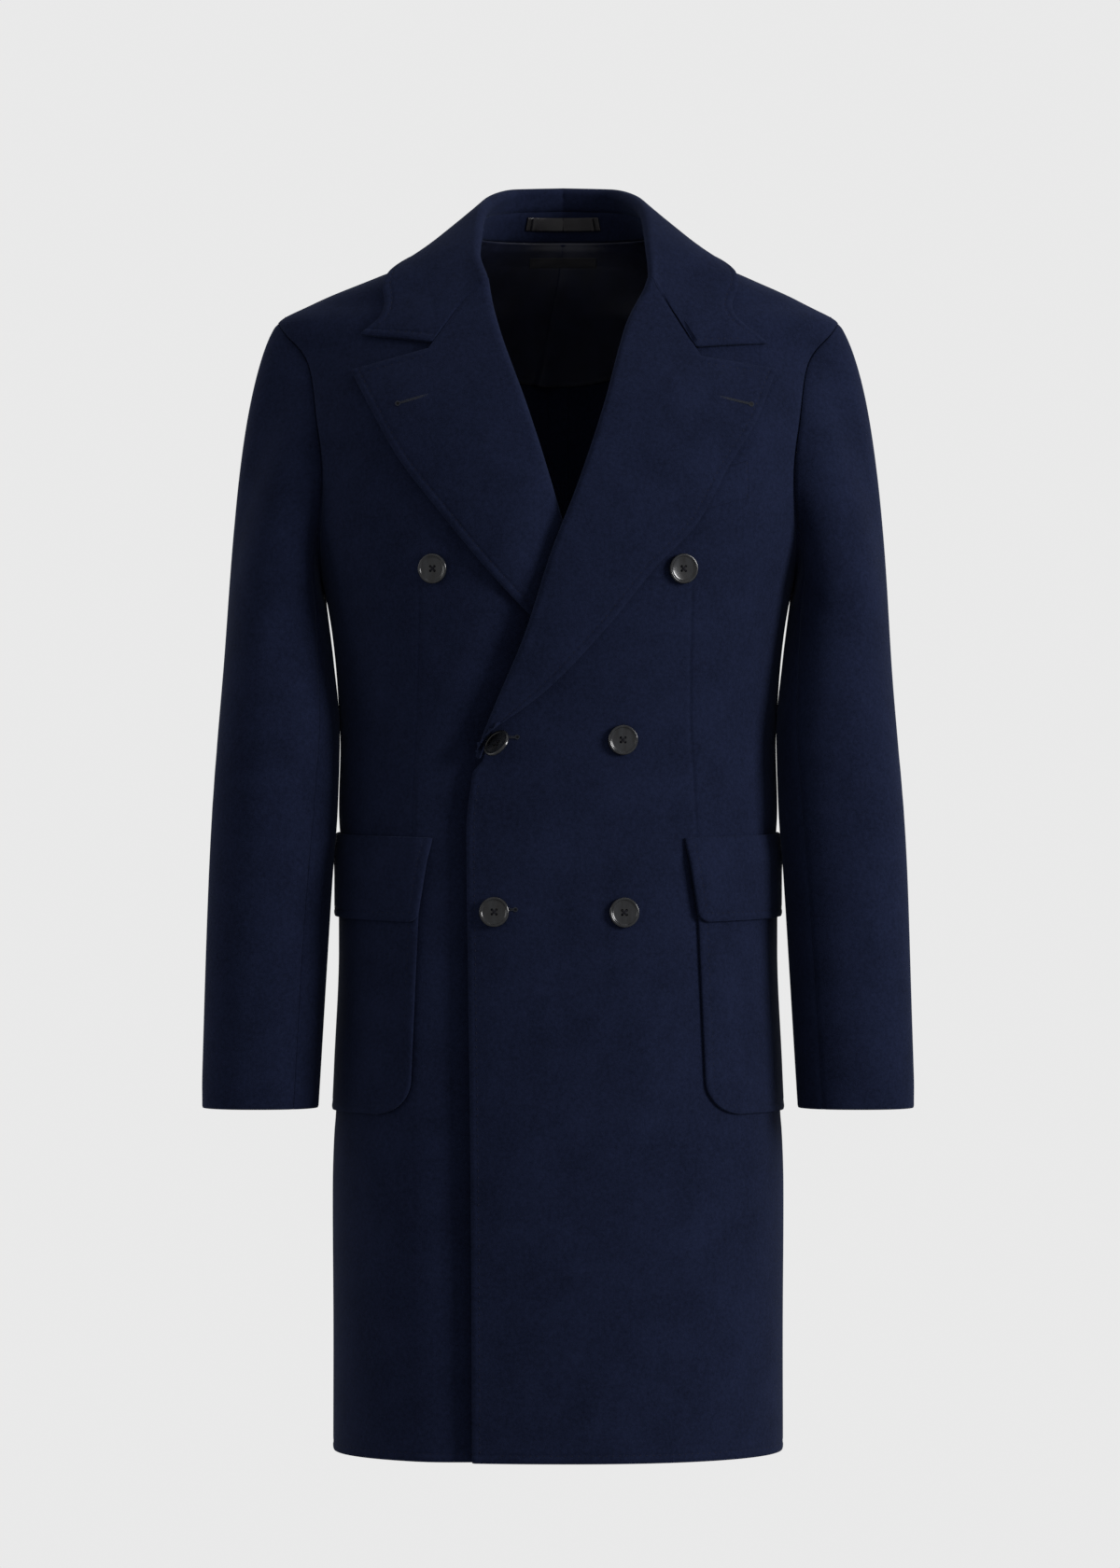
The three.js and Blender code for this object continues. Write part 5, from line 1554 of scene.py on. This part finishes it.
def drilled(mesh):
    """The blank with its four holes cut by a boolean."""
    blank = add_object("button_blank", mesh)
    drills = []
    for k in range(4):
        turn = math.radians(45 + 90 * k)
        bpy.ops.mesh.primitive_cylinder_add(
            vertices=20, radius=HOLE_RADIUS, depth=14,
            location=(HOLE_CIRCLE * math.cos(turn), HOLE_CIRCLE * math.sin(turn), 2),
        )
        drills.append(bpy.context.object)
        cut = blank.modifiers.new(f"hole_{k}", "BOOLEAN")
        cut.operation, cut.object, cut.solver = "DIFFERENCE", drills[-1], "EXACT"
    evaluated = blank.evaluated_get(bpy.context.evaluated_depsgraph_get())
    result = bpy.data.meshes.new_from_object(evaluated)
    for spare in [blank, *drills]:
        bpy.data.objects.remove(spare)
    return result


DISC = drilled(button_mesh())
print("button faces:", len(DISC.polygons))

# %% Thread for a button
LONGEST_SHANK = 2.0


def tube(points, radius, sides=8):
    """Points and faces of a round thread along a polyline, closed at its ends."""
    points = np.asarray(points, float)
    tangent = unit(np.gradient(points, axis=0))
    side = unit(np.cross(tangent, np.where(np.abs(tangent[:, 2:]) > 0.9, [[1.0, 0, 0]], [[0, 0, 1.0]])))
    other = np.cross(tangent, side)
    angle = np.arange(sides) * 2 * math.pi / sides
    spoke = side[:, None] * np.cos(angle)[:, None] + other[:, None] * np.sin(angle)[:, None]
    ring = points[:, None] + radius * spoke
    index = np.arange(len(points) * sides).reshape(-1, sides)
    faces = [
        [index[j, k], index[j, (k + 1) % sides], index[j + 1, (k + 1) % sides], index[j + 1, k]]
        for j in range(len(points) - 1) for k in range(sides)
    ]
    return ring.reshape(-1, 3), faces, [list(index[0, ::-1]), list(index[-1])]


def button_threads(shank):
    """Two crossing bundles over the holes and a wound shank under the button."""
    strands = []
    for turn in (45, 135):
        c, s = math.cos(math.radians(turn)), math.sin(math.radians(turn))
        for offset in (-0.34, 0.0, 0.34):
            t = np.linspace(-1, 1, 13)
            along, height = t * HOLE_CIRCLE, 2.95 + 0.35 * (1 - t**2) + (0.25 if turn == 135 else 0)
            route = np.stack([along * c - offset * s, along * s + offset * c, height], -1)
            ends = route[[0, -1]] - [0, 0, 1.8]
            strands.append((np.concatenate([ends[:1], route, ends[1:]]), 0.24))
    turns = np.linspace(0, 5 * 2 * math.pi, 90)
    wound = np.stack([1.35 * np.cos(turns), 1.35 * np.sin(turns), mix(0.3, -shank, turns / turns[-1])], -1)
    return strands + [(wound, 0.34), (np.array([[0, 0, 1.0], [0, 0, -shank * 0.5], [0, 0, -shank]]), 1.3)]


def face_to(facing):
    """Rotation that turns +Z to a facing and keeps the holes square to the coat."""
    z = unit(np.array(facing, float))
    x = unit(np.cross([0, 0, 1.0], z))
    return np.stack([x, np.cross(z, x), z], -1)


print("threads of a button:", len(button_threads(LONGEST_SHANK)))

# %% Sew the six buttons on
BUTTONS = [
    ("button_top_right", "right", 102.4, 735, 0), ("button_top_left", "left", 102.4, 735, 0),
    ("button_middle_right", "left", -47.9, 589.8, 48), ("button_middle_left", "left", 53, 594, 0),
    ("button_low_right", "left", -52, 452.5, 0), ("button_low_left", "left", 54, 452, 0),
]
TIPPED_TOWARDS = np.array([-0.67, 0, 0.74])
DISC_GAP = 0.6


def button_seat(side, across, height, tilt):
    """Where a button's back lies, where it faces, and how far it stands off the cloth."""
    steps = ((6, 0), (-6, 0), (0, 6), (0, -6), (0, 0))
    here = [on_front(side, across + dx, height + dz, 0.0) for dx, dz in steps]
    facing = unit(np.cross(here[0] - here[1], here[2] - here[3]))
    lean = math.radians(tilt)
    reach = max(r * math.sin(lean) - h * math.cos(lean) for r, h in BUTTON_SECTION)
    centre = here[4] + facing * (DISC_GAP + reach)
    axis = unit(np.cross(facing, TIPPED_TOWARDS))
    turned = facing * math.cos(lean) + np.cross(axis, facing) * math.sin(lean)
    return centre * FLIP[side], turned * FLIP[side], DISC_GAP + reach


def add_disc(name, turn, centre):
    points = np.empty(len(DISC.vertices) * 3)
    DISC.vertices.foreach_get("co", points)
    mesh = DISC.copy()
    mesh.vertices.foreach_set("co", to_metres(points.reshape(-1, 3) @ turn.T + centre).ravel())
    mesh.update()
    mesh.materials.clear()
    mesh.materials.append(RESIN)
    mesh.set_sharp_from_angle(angle=SHARP_ANGLE)
    disc = add_object("turned_" + name, mesh)
    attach(disc, "root")
    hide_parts(name)


def add_thread(name, turn, centre, shank):
    points, faces, start = [], [], 0
    for route, radius in button_threads(shank):
        ring, sides, caps = tube(route, radius)
        points.append(ring @ turn.T + centre)
        faces += [[k + start for k in face] for face in sides + caps]
        start += len(ring)
    mesh = bpy.data.meshes.new("thread_" + name)
    mesh.from_pydata(to_metres(np.concatenate(points)).tolist(), [], faces)
    mesh.shade_smooth()
    mesh.materials.append(TIE)
    ride_coat(add_object("thread_" + name, mesh))


for name, side, across, height, tilt in BUTTONS:
    centre, facing, gap = button_seat(side, np.array(float(across)), np.array(float(height)), tilt)
    add_disc(name, face_to(facing), centre)
    add_thread(name, face_to(facing), centre, min(gap, LONGEST_SHANK))
print("buttons sewn:", len(BUTTONS))

# %% [markdown]
# ## Bar tacks on the loop
# The ribbon loop is held at each end by a short dense bar of stitches across it. The same tree
# makes them: a short line with a very small pitch.

# %% Tack the loop
tacks = []
for across in (-25.2, 25.2):
    here, facing = on_stand(np.full(12, across), np.linspace(1029.2, 1038.8, 12))
    tacks.append((here + facing * 2.0, facing))
bars = stitched_object("loop_tacks", tacks, 0.7, (0.6, 2.0, 0.7), 0.1, TIE)
print("tack stitches:", len(bars.data.polygons) // BEAD_FACES)

# %% [markdown]
# ## Floor, light and camera
# The photograph is a plain studio view: a very long lens level with the middle of the coat, a broad
# soft light from the front on the right, and weaker ones on the left and above. The floor lies well
# below the hem, because the coat hangs from its shoulders.

# %% Stage the coat
FLOOR_LEVEL, FLOOR_REACH = -1.35, 2.3  # metres, like everything on the stage
LAMPS = [  # name, place, the height that it points at on the coat's axis, size, power in watts
    ("key", (4.4, -2.4, 0.9), -0.35, 1.8, 450), ("fill", (-4.2, -0.6, 0.3), -0.45, 2.0, 50),
    ("top", (0.6, 0.6, 3.4), -0.3, 2.6, 60),
]
CAMERA_PLACE, FOCAL_LENGTH, SENSOR = (0.0016, -6.0, -0.4223), 163.8, 36.0
WALL_GREY, WALL_LIGHT = 0.93, 0.88


def soft_light(name, place, aim, size, power):
    light = bpy.data.lights.new(name, "AREA")
    light.shape, light.size, light.energy = "SQUARE", size, power
    lamp = add_object(name, light)
    lamp.location = place
    x, y, z = (t - p for t, p in zip((0, 0, aim), place))
    lamp.rotation_euler = (math.atan2(math.hypot(x, y), -z), 0, math.atan2(-x, y))


floor_mesh = bpy.data.meshes.new("studio_floor")
around = ((-1, -1), (1, -1), (1, 1), (-1, 1))
corners = [(x * FLOOR_REACH, y * FLOOR_REACH, FLOOR_LEVEL) for x, y in around]
floor_mesh.from_pydata(corners, [], [(0, 1, 2, 3)])
floor_paint, floor_tree, floor_shader, floor_place = new_material(
    "pale_floor", Roughness=0.9, Specular_IOR_Level=0.1,
)
grain = noise(floor_tree, floor_place, 3, 2)
greys = [(0.2, (0.36, 0.36, 0.36)), (0.8, (0.38, 0.38, 0.38))]
paint(floor_tree, floor_shader, grain, "Fac", greys)
floor_mesh.materials.append(floor_paint)
floor = add_object("studio_floor", floor_mesh)

for lamp in LAMPS:
    soft_light(*lamp)
world = bpy.data.worlds.new("studio")
world.use_nodes = True
background = world.node_tree.nodes["Background"].inputs
background["Color"].default_value = (WALL_GREY, WALL_GREY, WALL_GREY, 1)
background["Strength"].default_value = WALL_LIGHT
bpy.context.scene.world = world
bpy.context.scene.view_settings.view_transform = "Standard"

camera_data = bpy.data.cameras.new("photo_camera")
camera_data.lens, camera_data.sensor_width, camera_data.clip_end = FOCAL_LENGTH, SENSOR, 300
camera = add_object("photo_camera", camera_data)
camera.location, camera.rotation_euler = CAMERA_PLACE, (math.pi / 2, 0, 0)
bpy.context.scene.camera = camera
print("lamps:", [name for name, *_ in LAMPS], "floor at:", FLOOR_LEVEL, "m")
